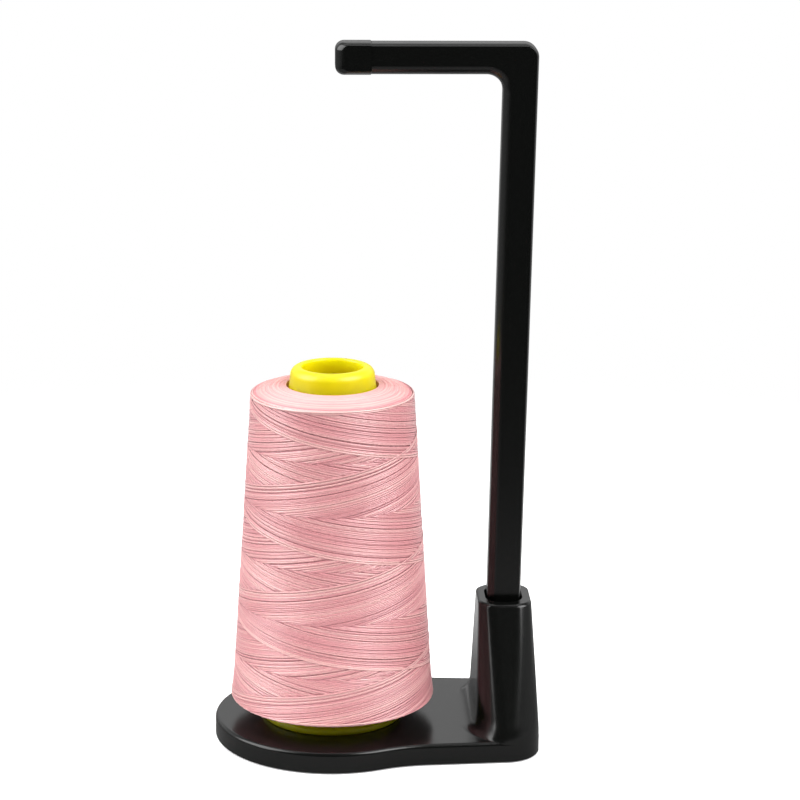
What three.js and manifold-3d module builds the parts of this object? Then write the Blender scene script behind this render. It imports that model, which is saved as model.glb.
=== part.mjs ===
// Thread spool stand: a hollow base with a tapered tower, an L-shaped guide arm that stands in the
// tower's socket, and a cone of cross-wound thread on a pin. Millimetres, +Z up. Lengths along X and
// Y are measured from the cone's axis, which stands at the middle of the base's disc, and the whole
// stand is then moved so that the origin is the middle of its footprint, on the table.
import * as THREE from 'three';
import { mergeVertices } from 'three/addons/utils/BufferGeometryUtils.js';
import Module from 'manifold-3d';

const wasm = await Module();
wasm.setup();

// General
const clearance = 0.3; // between pieces that rest on or slide in each other
const arcSteps = 6; // straight steps in a quarter turn
const turnSteps = 40; // straight steps in a full turn of a large round piece
const smallTurnSteps = 16; // the same for screws, feet and holes

// Base: disc and tail
const discRadius = 47;
const baseUnderside = 0.4; // height of the wall's lower edge above the table
const plateTop = 8.7;
const plateThickness = 2.2;
const baseWall = 2.4;
const baseEdgeRadius = 1.6;
const tailEnd = 81.4; // end wall of the tail
const tailHalfDepth = 38.25; // half the tail's depth, at tailDepthAt
const tailDepthAt = 45;
const tailTaper = 3.9; // degrees that each long side closes in
const tailCornerRadius = 14;
const waistRadius = 55; // hollow curve between the disc and the tail

// Tower and socket
const rimHeight = 57.6; // top of the tower
const rimHalfDepth = 13.4;
const rimLeft = 57.6;
const rimRight = 78.8;
const rimCornerRadius = 5;
const rimLip = 1.2; // rounding of the rim's outer edge
const towerFootLeft = 56.4;
const towerFootCornerRadius = 10.4;
const towerFillet = 3.6; // hollow curve where the tower meets the plate
const towerSetback = 0.05; // from the plate's wall to the tower's
const towerWall = 3;
const socketDepth = 44;
const socketWall = 2.2;
const mouthDepth = 4; // wide mouth of the socket
const mouthWidth = 14.8;
const mouthHalfDepth = 10.2;
const mouthCornerRadius = 4.6;

// Guide arm
const postCentre = 68.1; // middle of the post, at the rim's height
const postLean = 0.93; // degrees from upright, away from the cone
const postWidth = 13.3;
const armDepth = 12.8; // front to back, post and arm alike
const armHeight = 12;
const armTop = 278.1;
const armEdgeRadius = 3.6; // long edges
const elbowOuterRadius = 5.5;
const elbowInnerRadius = 6.4;

// Guide cap
const capEnd = 0.9; // free end of the cap
const capLength = 13.8;
const capProud = 0.25; // how far the cap stands out of the arm's faces
const capEndRadius = 3.4;
const tenonLength = 3.6;
const tenonInset = 1.8;
const eyeRadius = 3.2; // passage for the thread, in from below and out at the back
const eyeFromEnd = 5.9;

// Bottom cover, feet, ballast and screws
const coverUnderside = 0.8;
const coverThickness = 1.6;
const footRadius = 6;
const footHeight = 1.1;
const footInset = 10; // from the disc's wall to a foot's middle
const footAngle = 123; // degrees from the tail's direction
const screwInset = 8.6; // from the wall to a screw's middle
const screwAngle = 72;
const screwRadius = 1.4;
const screwHeadRadius = 2.7;
const screwHeadHeight = 0.7;
const screwLength = 4;
const bossRadius = 3.4;
const ballastRadius = 31;
const ballastBore = 9;
const ballastThickness = 2.6;

// Spool pin
const pinRadius = 3.5;
const pinTop = 112;
const pinSeatHeight = 3; // ring on the plate that the pin stands in
const pinSeatWall = 3.2;
const pinScrewRadius = 1.5;
const pinScrewHeadRadius = 3.6;
const pinScrewHeadHeight = 2;
const pinScrewGrip = 11; // length of the screw inside the pin
const washerRadius = 5.5;
const washerThickness = 0.8;

// Thread cone
const coneFootRadius = 27.8;
const coneFootHeight = 2.4;
const coneTaper = 3.7; // half angle, degrees
const coneWall = 1.8;
const coneNeckRadius = 17.6; // outside of the ring
const coneTop = 152;
const coneHoleRadius = 12;
const ringTaper = 0.4; // how much narrower the ring is at its shoulder
const ringShoulder = 3.2; // rounding of its outer edge
const ringLip = 1.3; // rounding of its hole's edge
const ringHeight = 7.5; // length of its straight hole

// Cone adapter
const adapterHubWall = 2.2;
const adapterTop = 70;
const finCount = 6;
const finThickness = 1.6;

// Thread
const threadBottom = 17.6;
const threadTop = 141.3;
const threadBottomRadius = 40.3;
const threadEndRise = 3.2; // how far the end faces swell towards the cone
const threadEdgeRadius = 1.2;
const strandHalfWidth = 1.9; // a flat band, which stands for many turns side by side
const strandHalfThickness = 0.5;
const strandGap = 0.5; // between turns that cross
const traverses = 6;
const turnsPerTraverse = 3.375;
const stepsPerTurn = 24;
const strandSides = 6;
const layerChange = 0.08; // part of a turn, each side of a turning point
const turnRounding = 0.03; // part of a turn

// Colours and finishes
const blackPlastic = { color: 0x141514, roughness: 0.35, metalness: 0 };
const coverPlastic = { color: 0x1b1c1b, roughness: 0.6, metalness: 0 };
const yellowPlastic = { color: 0xf0dc14, roughness: 0.4, metalness: 0 };
const whitePlastic = { color: 0xd9d9d4, roughness: 0.5, metalness: 0 };
const pinkThread = { color: 0xe0a0a4, roughness: 0.7, metalness: 0 };
const steel = { color: 0x9a9c9e, roughness: 0.35, metalness: 1 };
const rubber = { color: 0x222222, roughness: 0.9, metalness: 0 };

// Values that follow from the ones above
const radians = THREE.MathUtils.degToRad;
const lerp = THREE.MathUtils.lerp;
const footprintCentre = (tailEnd - discRadius) / 2;
const plateUnderside = plateTop - plateThickness;
const coverTop = coverUnderside + coverThickness;
const leanSlope = Math.tan(radians(postLean));
const coneSlope = Math.tan(radians(coneTaper));
const coneBottom = plateTop + clearance;
const socketFloor = rimHeight - socketDepth;
const postBottom = socketFloor + clearance;
const armUnderside = armTop - armHeight;
const capRoot = capEnd + capLength;

// The post's middle at a height.
const postMiddle = (z) => postCentre + (z - rimHeight) * leanSlope;

// The cone's outside radius under the thread, at a height.
const coneRadius = (z) => coneNeckRadius + (threadTop - z) * coneSlope;

// The thread package's outside radius at a height.
const threadRadius = (z) => threadBottomRadius - (z - threadBottom) * coneSlope;

// Half the tail's depth at a place along it.
const tailHalfDepthAt = (x) => tailHalfDepth - (x - tailDepthAt) * Math.tan(radians(tailTaper));

// A place on the disc at an inset from its wall, at an angle from the tail's direction.
function onDisc(inset, angle) {
  const reach = discRadius - inset;
  return [reach * Math.cos(radians(angle)), reach * Math.sin(radians(angle))];
}

// Two places on the tail, one near each long side.
function onTail(x, inset) {
  const y = tailHalfDepthAt(x) - inset;
  return [[x, y], [x, -y]];
}

// Middles of the feet and of the cover's screws
const footPlaces = [
  onDisc(footInset, footAngle),
  onDisc(footInset, -footAngle),
  ...onTail(tailEnd - tailCornerRadius, tailCornerRadius),
];
const screwPlaces = [
  onDisc(screwInset, 180),
  onDisc(screwInset, screwAngle),
  onDisc(screwInset, -screwAngle),
  ...onTail(tailDepthAt, screwInset),
];

// Points of an arc, angles in radians, both ends included.
function arc(centreX, centreY, radius, from, to, steps) {
  const points = [];
  for (let i = 0; i <= steps; i += 1) {
    const angle = lerp(from, to, i / steps);
    const x = centreX + radius * Math.cos(angle);
    const y = centreY + radius * Math.sin(angle);
    points.push(new THREE.Vector2(x, y));
  }
  return points;
}

// A polygon's outline with its corners rounded. Corners run anticlockwise, all of them convex.
function roundedOutline(corners, radii, steps = arcSteps) {
  const points = [];
  corners.forEach((corner, i) => {
    const before = corners[(i + corners.length - 1) % corners.length];
    const after = corners[(i + 1) % corners.length];
    const toBefore = before.clone().sub(corner).normalize();
    const toAfter = after.clone().sub(corner).normalize();
    const halfAngle = Math.acos(THREE.MathUtils.clamp(toBefore.dot(toAfter), -1, 1)) / 2;
    const bisector = toBefore.clone().add(toAfter).normalize();
    const centre = corner.clone().addScaledVector(bisector, radii[i] / Math.sin(halfAngle));
    const start = Math.atan2(-toBefore.x, toBefore.y);
    let sweep = Math.atan2(toAfter.x, -toAfter.y) - start;
    sweep = THREE.MathUtils.euclideanModulo(sweep, 2 * Math.PI);
    points.push(...arc(centre.x, centre.y, radii[i], start + Math.PI, start + Math.PI + sweep, steps));
  });
  return points;
}

// A closed body through a stack of outlines, each a list of points at one height, all of one length.
function loft(rings) {
  const count = rings[0].length;
  const positions = rings.flatMap((ring) => ring.flatMap((p) => [p.x, p.y, p.z]));
  const index = [];
  for (let r = 0; r < rings.length - 1; r += 1) {
    for (let i = 0; i < count; i += 1) {
      const a = r * count + i;
      const b = r * count + ((i + 1) % count);
      index.push(a, b, b + count, a, b + count, a + count);
    }
  }
  const flat = (ring) => ring.map((p) => new THREE.Vector2(p.x, p.y));
  const last = (rings.length - 1) * count;
  for (const [a, b, c] of THREE.ShapeUtils.triangulateShape(flat(rings[0]), [])) {
    index.push(c, b, a);
  }
  for (const [a, b, c] of THREE.ShapeUtils.triangulateShape(flat(rings[rings.length - 1]), [])) {
    index.push(last + a, last + b, last + c);
  }
  const geometry = new THREE.BufferGeometry();
  geometry.setAttribute('position', new THREE.Float32BufferAttribute(positions, 3));
  geometry.setIndex(index);
  return geometry;
}

// An outline lifted to a height.
const atHeight = (outline, z) => outline.map((p) => new THREE.Vector3(p.x, p.y, z));

// An upright prism on an outline.
const prism = (outline, low, high) => loft([atHeight(outline, low), atHeight(outline, high)]);

// A body of revolution round an upright axis, from [radius, height] pairs.
function revolved(profile, segments = turnSteps) {
  const points = profile.map(([radius, z]) => new THREE.Vector2(radius, z));
  return new THREE.LatheGeometry(points, segments).rotateX(Math.PI / 2);
}

// An upright round bar.
const roundBar = (radius, low, high, segments = smallTurnSteps) =>
  revolved([[0, low], [radius, low], [radius, high], [0, high]], segments);

// A closed geometry as a solid for cutting and joining.
function solid(geometry) {
  const bare = geometry.clone();
  bare.deleteAttribute('normal');
  bare.deleteAttribute('uv');
  const merged = mergeVertices(bare, 1e-4);
  return new wasm.Manifold(
    new wasm.Mesh({
      numProp: 3,
      vertProperties: Float32Array.from(merged.attributes.position.array),
      triVerts: Uint32Array.from(merged.index.array),
    }),
  );
}

// A solid as a geometry.
function geometryOf(body) {
  const mesh = body.getMesh();
  const geometry = new THREE.BufferGeometry();
  geometry.setAttribute('position', new THREE.BufferAttribute(mesh.vertProperties, 3));
  geometry.setIndex(new THREE.BufferAttribute(mesh.triVerts, 1));
  return geometry;
}

// The base's outline, moved inwards by an inset: disc, waists, tail sides and end corners.
function baseOutline(inset) {
  const taper = radians(tailTaper);
  const side = new THREE.Vector2(Math.cos(taper), -Math.sin(taper));
  const outward = new THREE.Vector2(Math.sin(taper), Math.cos(taper));
  const onSide = new THREE.Vector2(tailDepthAt, tailHalfDepth).addScaledVector(outward, waistRadius);
  const along = onSide.dot(side);
  const reach = (discRadius + waistRadius) ** 2;
  const further = Math.sqrt(along ** 2 - onSide.lengthSq() + reach) - along;
  const waist = onSide.clone().addScaledVector(side, further);
  const cornerX = tailEnd - tailCornerRadius;
  const cornerDrop = Math.sin(taper) * (cornerX - tailDepthAt) + tailCornerRadius;
  const cornerY = tailHalfDepth - cornerDrop / Math.cos(taper);
  const meet = Math.atan2(waist.y, waist.x);
  const square = Math.PI / 2;
  const corner = tailCornerRadius - inset;
  const hollow = waistRadius + inset;
  return [
    ...arc(cornerX, -cornerY, corner, taper - square, 0, arcSteps),
    ...arc(cornerX, cornerY, corner, 0, square - taper, arcSteps),
    ...arc(waist.x, waist.y, hollow, 3 * square - taper, Math.PI + meet, arcSteps),
    ...arc(0, 0, discRadius - inset, meet, 2 * Math.PI - meet, turnSteps).slice(1, -1),
    ...arc(waist.x, -waist.y, hollow, Math.PI - meet, square + taper, arcSteps),
  ];
}

// The plate's body up to its rounded top edge.
function plateBody() {
  const rings = [atHeight(baseOutline(0), baseUnderside)];
  const steps = 3;
  for (let i = 0; i <= steps; i += 1) {
    const angle = (Math.PI / 2) * (i / steps);
    const inset = baseEdgeRadius * (1 - Math.cos(angle));
    const z = plateTop - baseEdgeRadius * (1 - Math.sin(angle));
    rings.push(atHeight(baseOutline(inset), z));
  }
  return loft(rings);
}

// The tower's outline at a height, moved inwards by an inset and out to the left by a flare.
function towerOutline(z, inset = 0, flare = 0) {
  const share = THREE.MathUtils.clamp((z - plateTop) / (rimHeight - plateTop), 0, 1);
  const left = lerp(towerFootLeft, rimLeft, share) - flare + inset;
  const right = lerp(tailEnd - towerSetback, rimRight, share) - inset;
  const halfDepth = (x) => lerp(tailHalfDepthAt(x) - towerSetback, rimHalfDepth, share) - inset;
  const blend = 1 - (1 - share) ** 1.5;
  const leftRadius = lerp(towerFootCornerRadius, rimCornerRadius, blend) + flare - inset;
  const rightRadius = lerp(tailCornerRadius, rimCornerRadius, blend) - inset;
  const corners = [
    new THREE.Vector2(right, -halfDepth(right)),
    new THREE.Vector2(right, halfDepth(right)),
    new THREE.Vector2(left, halfDepth(left)),
    new THREE.Vector2(left, -halfDepth(left)),
  ];
  return roundedOutline(corners, [rightRadius, rightRadius, leftRadius, leftRadius]);
}

// The tower from inside the plate to its rounded rim.
function towerBody() {
  const low = plateTop - plateThickness / 2;
  const rings = [atHeight(towerOutline(low, 0, towerFillet), low)];
  const filletSteps = 4;
  for (let i = 0; i <= filletSteps; i += 1) {
    const angle = (Math.PI / 2) * (i / filletSteps);
    const z = plateTop + towerFillet * (1 - Math.cos(angle));
    rings.push(atHeight(towerOutline(z, 0, towerFillet * (1 - Math.sin(angle))), z));
  }
  const wallSteps = 4;
  const wallLow = plateTop + towerFillet;
  const wallHigh = rimHeight - rimLip;
  for (let i = 1; i < wallSteps; i += 1) {
    const z = lerp(wallLow, wallHigh, i / wallSteps);
    rings.push(atHeight(towerOutline(z), z));
  }
  const lipSteps = 3;
  for (let i = 0; i <= lipSteps; i += 1) {
    const angle = (Math.PI / 2) * (i / lipSteps);
    const z = wallHigh + rimLip * Math.sin(angle);
    rings.push(atHeight(towerOutline(z, rimLip * (1 - Math.cos(angle))), z));
  }
  return loft(rings);
}

// The hollow inside the tower.
function towerHollow() {
  const low = plateUnderside - 1;
  const high = rimHeight - mouthDepth - towerWall;
  const heights = [low, plateTop, lerp(plateTop, high, 0.33), lerp(plateTop, high, 0.67), high];
  return loft(heights.map((z) => atHeight(towerOutline(z, towerWall), z)));
}

// A leaning upright with a rounded rectangular section, centred on the post.
function leaningBar(width, halfDepth, cornerRadius, low, high) {
  const ring = (z) => {
    const middle = postMiddle(z);
    const corners = [
      new THREE.Vector2(middle + width / 2, -halfDepth),
      new THREE.Vector2(middle + width / 2, halfDepth),
      new THREE.Vector2(middle - width / 2, halfDepth),
      new THREE.Vector2(middle - width / 2, -halfDepth),
    ];
    return atHeight(roundedOutline(corners, Array(4).fill(cornerRadius), 4), z);
  };
  return loft([ring(low), ring(high)]);
}

// The base shell: plate and tower in one moulding, hollow below, with the socket, the screw bosses
// and the pin's seat.
function baseShell() {
  const sleeveWidth = postWidth + 2 * clearance;
  const sleeveHalfDepth = armDepth / 2 + clearance;
  const sleeveRadius = armEdgeRadius + clearance;
  const outerWidth = sleeveWidth + 2 * socketWall;
  const outerHalfDepth = sleeveHalfDepth + socketWall;
  const hollow = prism(baseOutline(baseWall), baseUnderside - 1, plateUnderside);
  let body = solid(plateBody()).add(solid(towerBody()));
  body = body.subtract(solid(hollow)).subtract(solid(towerHollow()));
  const sleeveLow = socketFloor - socketWall;
  body = body.add(
    solid(leaningBar(outerWidth, outerHalfDepth, sleeveRadius + socketWall, sleeveLow, rimHeight - rimLip)),
  );
  const past = rimHeight + 1;
  body = body.subtract(solid(leaningBar(sleeveWidth, sleeveHalfDepth, sleeveRadius, socketFloor, past)));
  const mouthFloor = rimHeight - mouthDepth;
  body = body.subtract(
    solid(leaningBar(mouthWidth, mouthHalfDepth, mouthCornerRadius, mouthFloor, past)),
  );
  for (const [x, y] of screwPlaces) {
    const low = coverTop + clearance;
    const boss = roundBar(bossRadius, low, plateUnderside + 0.2).translate(x, y, 0);
    const pilotTop = coverTop + screwLength + clearance;
    const pilot = roundBar(screwRadius + clearance, low - 1, pilotTop).translate(x, y, 0);
    body = body.add(solid(boss)).subtract(solid(pilot));
  }
  const seat = roundBar(pinRadius + clearance + pinSeatWall, plateUnderside, plateTop + pinSeatHeight);
  const seatBore = roundBar(pinRadius + clearance, plateTop, plateTop + pinSeatHeight + 1);
  const screwBore = roundBar(pinScrewRadius + clearance, plateUnderside - 1, plateTop + 1);
  body = body.add(solid(seat)).subtract(solid(seatBore)).subtract(solid(screwBore));
  return geometryOf(body);
}

// The bottom cover, with recesses for the feet and holes for the screws.
function bottomCover() {
  let body = solid(prism(baseOutline(baseWall + clearance), coverUnderside, coverTop));
  const recessTop = footHeight + clearance;
  for (const [x, y] of footPlaces) {
    const recess = roundBar(footRadius + clearance, coverUnderside - 1, recessTop).translate(x, y, 0);
    body = body.subtract(solid(recess));
  }
  for (const [x, y] of screwPlaces) {
    const headRoom = coverUnderside + screwHeadHeight;
    const hole = roundBar(screwRadius + clearance, coverUnderside - 1, coverTop + 1).translate(x, y, 0);
    const sink = roundBar(screwHeadRadius + clearance, coverUnderside - 1, headRoom).translate(x, y, 0);
    body = body.subtract(solid(hole)).subtract(solid(sink));
  }
  return geometryOf(body);
}

// A pan-head screw for the cover, head down.
function coverScrew() {
  const headTop = coverUnderside + screwHeadHeight - clearance;
  const headLow = headTop - screwHeadHeight + clearance;
  const tip = coverTop + screwLength;
  const profile = [
    [0, headLow],
    [screwHeadRadius - 0.4, headLow],
    [screwHeadRadius, headTop - 0.2],
    [screwHeadRadius, headTop],
    [screwRadius, headTop],
    [screwRadius, tip - 1],
    [0.4, tip],
    [0, tip],
  ];
  return revolved(profile, smallTurnSteps);
}

// The pin's screw, head below the washer.
function pinScrew() {
  const headTop = plateUnderside - clearance - washerThickness - clearance;
  const headLow = headTop - pinScrewHeadHeight;
  const tip = coneBottom + pinScrewGrip;
  const profile = [
    [0, headLow],
    [pinScrewHeadRadius - 0.6, headLow],
    [pinScrewHeadRadius, headLow + 0.6],
    [pinScrewHeadRadius, headTop],
    [pinScrewRadius, headTop],
    [pinScrewRadius, tip],
    [0, tip],
  ];
  return revolved(profile, smallTurnSteps);
}

function pinWasher() {
  const high = plateUnderside - clearance;
  const low = high - washerThickness;
  const bore = pinScrewRadius + clearance;
  const profile = [[bore, low], [washerRadius, low], [washerRadius, high], [bore, high], [bore, low]];
  return revolved(profile, 24);
}

// The pin: a rod with a round tip and a blind hole for its screw.
function spoolPin() {
  const low = plateTop + clearance;
  const holeTop = coneBottom + pinScrewGrip + clearance;
  const bore = pinScrewRadius + clearance;
  const hole = [[0, holeTop], [bore, holeTop], [bore, low]];
  const profile = [...hole, [pinRadius, low], [pinRadius, pinTop - pinRadius]];
  for (let i = 1; i < 4; i += 1) {
    const angle = (Math.PI / 2) * (i / 4);
    profile.push([pinRadius * Math.cos(angle), pinTop - pinRadius + pinRadius * Math.sin(angle)]);
  }
  profile.push([0, pinTop]);
  return revolved(profile, 24);
}

function ballastPlate() {
  const low = coverTop + clearance;
  const high = low + ballastThickness;
  const profile = [
    [ballastBore, low],
    [ballastRadius, low],
    [ballastRadius, high],
    [ballastBore, high],
    [ballastBore, low],
  ];
  return revolved(profile);
}

function rubberFoot() {
  const wall = [[footRadius - 0.4, 0], [footRadius, 0.4], [footRadius, footHeight]];
  return revolved([[0, 0], ...wall, [0, footHeight]], smallTurnSteps);
}

// The arm's outline seen from the front, in X and Z, moved inwards by an inset.
function armOutline(inset) {
  const elbowX = postMiddle(armTop) + postWidth / 2 - elbowOuterRadius;
  const innerX = postMiddle(armUnderside) - postWidth / 2 - elbowInnerRadius;
  const lean = radians(postLean);
  const half = postWidth / 2 - inset;
  const square = Math.PI / 2;
  const outer = elbowOuterRadius - inset;
  const inner = elbowInnerRadius + inset;
  const low = postBottom + inset;
  const shoulder = capRoot + clearance;
  return [
    new THREE.Vector2(postMiddle(low) - half, low),
    new THREE.Vector2(postMiddle(low) + half, low),
    ...arc(elbowX, armTop - elbowOuterRadius, outer, -lean, square, arcSteps),
    new THREE.Vector2(shoulder, armTop - inset),
    new THREE.Vector2(shoulder, armUnderside + inset),
    ...arc(innerX, armUnderside - elbowInnerRadius, inner, square, -lean, arcSteps),
  ];
}

// The tenon on the arm's free end, or with a margin the cap's pocket for it.
function tenonBlock(margin) {
  const length = tenonLength + 1 + margin;
  const depth = armDepth - 2 * tenonInset + 2 * margin;
  const height = armHeight - 2 * tenonInset + 2 * margin;
  const block = new THREE.BoxGeometry(length, depth, height);
  const right = capRoot + clearance + 1;
  return block.translate(right - length / 2, 0, (armTop + armUnderside) / 2);
}

// The guide arm: post, elbow and arm in one moulding with rounded long edges, and its tenon.
function guideArm() {
  const rings = [];
  const steps = 3;
  const straight = armDepth / 2 - armEdgeRadius;
  const ring = (angle, sign) => {
    const inset = armEdgeRadius * (1 - Math.cos(angle));
    return atHeight(armOutline(inset), sign * (straight + armEdgeRadius * Math.sin(angle)));
  };
  for (let i = steps; i >= 0; i -= 1) {
    rings.push(ring((Math.PI / 2) * (i / steps), -1));
  }
  for (let i = 0; i <= steps; i += 1) {
    rings.push(ring((Math.PI / 2) * (i / steps), 1));
  }
  const arm = loft(rings).rotateX(Math.PI / 2);
  return geometryOf(solid(arm).add(solid(tenonBlock(0))));
}

// The cap's outline seen from the front, in X and Z, moved inwards by an inset.
function capOutline(inset) {
  const low = armUnderside - capProud + inset;
  const high = armTop + capProud - inset;
  const radius = capEndRadius - inset / 2;
  const corners = [
    new THREE.Vector2(capRoot, low),
    new THREE.Vector2(capRoot, high),
    new THREE.Vector2(capEnd + inset, high),
    new THREE.Vector2(capEnd + inset, low),
  ];
  return roundedOutline(corners, [0.3, 0.3, radius, radius], 4);
}

// The guide cap: a closed end with a pocket for the arm's tenon, and a bent passage for the thread.
function guideCap() {
  const rings = [];
  const steps = 3;
  const depth = armDepth / 2 + capProud;
  const ring = (angle, sign) => {
    const inset = armEdgeRadius * (1 - Math.cos(angle));
    return atHeight(capOutline(inset), sign * (depth - armEdgeRadius * (1 - Math.sin(angle))));
  };
  for (let i = steps; i >= 0; i -= 1) {
    rings.push(ring((Math.PI / 2) * (i / steps), -1));
  }
  for (let i = 0; i <= steps; i += 1) {
    rings.push(ring((Math.PI / 2) * (i / steps), 1));
  }
  const middle = (armTop + armUnderside) / 2;
  const eyeX = capEnd + eyeFromEnd;
  const below = roundBar(eyeRadius, -armHeight, 0);
  const behind = roundBar(eyeRadius, 0, armDepth).rotateX(-Math.PI / 2);
  const bend = new THREE.SphereGeometry(eyeRadius, smallTurnSteps, smallTurnSteps / 2);
  let body = solid(loft(rings).rotateX(Math.PI / 2)).subtract(solid(tenonBlock(clearance)));
  for (const cut of [below, behind, bend]) {
    body = body.subtract(solid(cut.translate(eyeX, 0, middle)));
  }
  return geometryOf(body);
}

// The yellow cone: foot, tapered wall and thick round-edged ring round its hole.
function threadCone() {
  const neck = threadTop + threadEndRise;
  const footTop = coneBottom + coneFootHeight;
  const insideRadius = coneNeckRadius - coneWall;
  const ringBottom = coneTop - ringHeight;
  const square = Math.PI / 2;
  const shoulderX = coneNeckRadius - ringTaper - ringShoulder;
  const shoulder = arc(shoulderX, coneTop - ringShoulder, ringShoulder, 0, square, 4);
  const lip = arc(coneHoleRadius + ringLip, coneTop - ringLip, ringLip, square, 2 * square, 3);
  const profile = [
    [coneFootRadius - coneWall, coneBottom],
    [coneFootRadius, coneBottom],
    [coneFootRadius, footTop],
    [coneRadius(footTop + 1), footTop + 1],
    [coneRadius(threadTop), threadTop],
    [coneNeckRadius, neck],
    ...shoulder,
    ...lip,
    [coneHoleRadius, ringBottom],
    [insideRadius, ringBottom - (insideRadius - coneHoleRadius)],
    [coneRadius(footTop) - coneWall, footTop],
    [coneFootRadius - coneWall, coneBottom],
  ];
  return revolved(profile);
}

// The adapter: a hub on the pin and fins that follow the inside of the cone.
function coneAdapter() {
  const low = plateTop + pinSeatHeight + clearance;
  const bore = pinRadius + clearance;
  const hub = bore + adapterHubWall;
  const tube = [[bore, low], [hub, low], [hub, adapterTop], [bore, adapterTop], [bore, low]];
  let body = solid(revolved(tube, 24));
  const reach = (z) => coneRadius(z) - coneWall - clearance;
  for (let i = 0; i < finCount; i += 1) {
    const outline = new THREE.Shape();
    outline.moveTo(hub - 0.4, low);
    outline.lineTo(reach(low), low);
    outline.lineTo(reach(adapterTop), adapterTop - 4);
    outline.lineTo(reach(adapterTop) - 4, adapterTop);
    outline.lineTo(hub - 0.4, adapterTop);
    const fin = new THREE.ExtrudeGeometry(outline, { depth: finThickness, bevelEnabled: false });
    fin.translate(0, 0, -finThickness / 2);
    fin.rotateX(Math.PI / 2);
    fin.rotateZ((2 * Math.PI * i) / finCount);
    body = body.add(solid(fin));
  }
  return geometryOf(body);
}

// How deep the turns reach into the package: two layers, the dip of a straight step and a gap.
const layerStep = 2 * strandHalfThickness + strandGap;
const stepDip = threadBottomRadius * (1 - Math.cos(Math.PI / stepsPerTurn));
const windingDepth = 2 * strandHalfThickness + layerStep + stepDip + clearance;

// The thread under the outer layer, a plain ring on the cone with swollen ends.
function threadCore() {
  const outer = (z) => threadRadius(z) - windingDepth;
  const inner = (z) => coneRadius(z) + clearance;
  const low = threadBottom;
  const high = threadTop;
  const lowRim = low - threadEndRise;
  const highRim = high + threadEndRise - clearance;
  const profile = [
    [inner(lowRim), lowRim],
    [inner(lowRim) + 2, lowRim],
    [outer(low) + 1, low],
    [outer(low), low + threadEdgeRadius],
    [outer(high), high - threadEdgeRadius],
    [outer(high) - 1, high],
    [inner(high) + 2, highRim],
    [inner(high), highRim],
    [inner(high), high],
    [inner(lowRim), lowRim],
  ];
  return revolved(profile);
}

// The strand's axis: down and up the package at a steady rate, in the inner layer on the way down
// and in the outer one on the way up, so that the turns cross without touching.
function strandPath() {
  const points = [];
  const low = threadBottom + strandHalfWidth;
  const high = threadTop - strandHalfWidth;
  const steps = Math.round(traverses * turnsPerTraverse * stepsPerTurn);
  for (let i = 0; i <= steps; i += 1) {
    const turn = i / stepsPerTurn;
    const leg = Math.min(Math.floor(turn / turnsPerTraverse), traverses - 1);
    const into = turn - leg * turnsPerTraverse;
    const left = turnsPerTraverse - into;
    const near = Math.min(into, left);
    const rounded = Math.sqrt(near ** 2 + turnRounding ** 2) - turnRounding;
    const nearShare = rounded / turnsPerTraverse;
    const goingDown = leg % 2 === 0;
    const share = into < left ? nearShare : 1 - nearShare;
    const z = goingDown ? lerp(high, low, share) : lerp(low, high, share);
    const side = goingDown ? 0 : 1;
    const atEnd = (leg === 0 && into < left) || (leg === traverses - 1 && left < into);
    const change = atEnd ? 1 : THREE.MathUtils.smoothstep(near, -layerChange, layerChange);
    const layer = lerp(1 - side, side, change);
    const radius = threadRadius(z) - strandHalfThickness - (1 - layer) * layerStep;
    const angle = 2 * Math.PI * turn;
    points.push(new THREE.Vector3(radius * Math.cos(angle), radius * Math.sin(angle), z));
  }
  return points;
}

// The strand's corners at each point of its axis: a flat hexagon that lies along the package's side.
function strandRings(path) {
  const slope = radians(coneTaper);
  return path.map((point, i) => {
    const before = path[Math.max(i - 1, 0)];
    const after = path[Math.min(i + 1, path.length - 1)];
    const along = after.clone().sub(before).normalize();
    const outward = new THREE.Vector3(point.x, point.y, 0).setLength(Math.cos(slope));
    outward.z = Math.sin(slope);
    const across = new THREE.Vector3().crossVectors(along, outward).normalize();
    const up = new THREE.Vector3().crossVectors(across, along);
    const ring = [];
    for (let k = 0; k < strandSides; k += 1) {
      const angle = (2 * Math.PI * k) / strandSides;
      const corner = point.clone();
      corner.addScaledVector(across, strandHalfWidth * Math.cos(angle));
      corner.addScaledVector(up, (strandHalfThickness * Math.sin(angle)) / Math.sin(Math.PI / 3));
      ring.push(corner);
    }
    return ring;
  });
}

// The least gap between the strand and itself, measured between points spread over its faces.
function leastGap(rings) {
  const between = 6;
  const cellSize = 1.2;
  const cells = new Map();
  const cellOf = (p) => [p.x, p.y, p.z].map((value) => Math.floor(value / cellSize));
  const spread = [];
  for (let i = 0; i < rings.length - 1; i += 1) {
    for (let k = 0; k < strandSides; k += 1) {
      const next = (k + 1) % strandSides;
      for (let m = 0; m < between * 2; m += 1) {
        for (let n = 0; n < between; n += 1) {
          const near = rings[i][k].clone().lerp(rings[i][next], n / between);
          const far = rings[i + 1][k].clone().lerp(rings[i + 1][next], n / between);
          spread.push({ point: near.lerp(far, m / (between * 2)), step: i });
        }
      }
    }
  }
  for (const entry of spread) {
    const key = cellOf(entry.point).join();
    cells.set(key, [...(cells.get(key) ?? []), entry]);
  }
  let least = Infinity;
  const around = [-1, 0, 1];
  for (const { point, step } of spread) {
    const [x, y, z] = cellOf(point);
    for (const dx of around) {
      for (const dy of around) {
        for (const dz of around) {
          for (const other of cells.get([x + dx, y + dy, z + dz].join()) ?? []) {
            if (other.step > step + stepsPerTurn / 4) {
              least = Math.min(least, point.distanceTo(other.point));
            }
          }
        }
      }
    }
  }
  return least;
}

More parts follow.
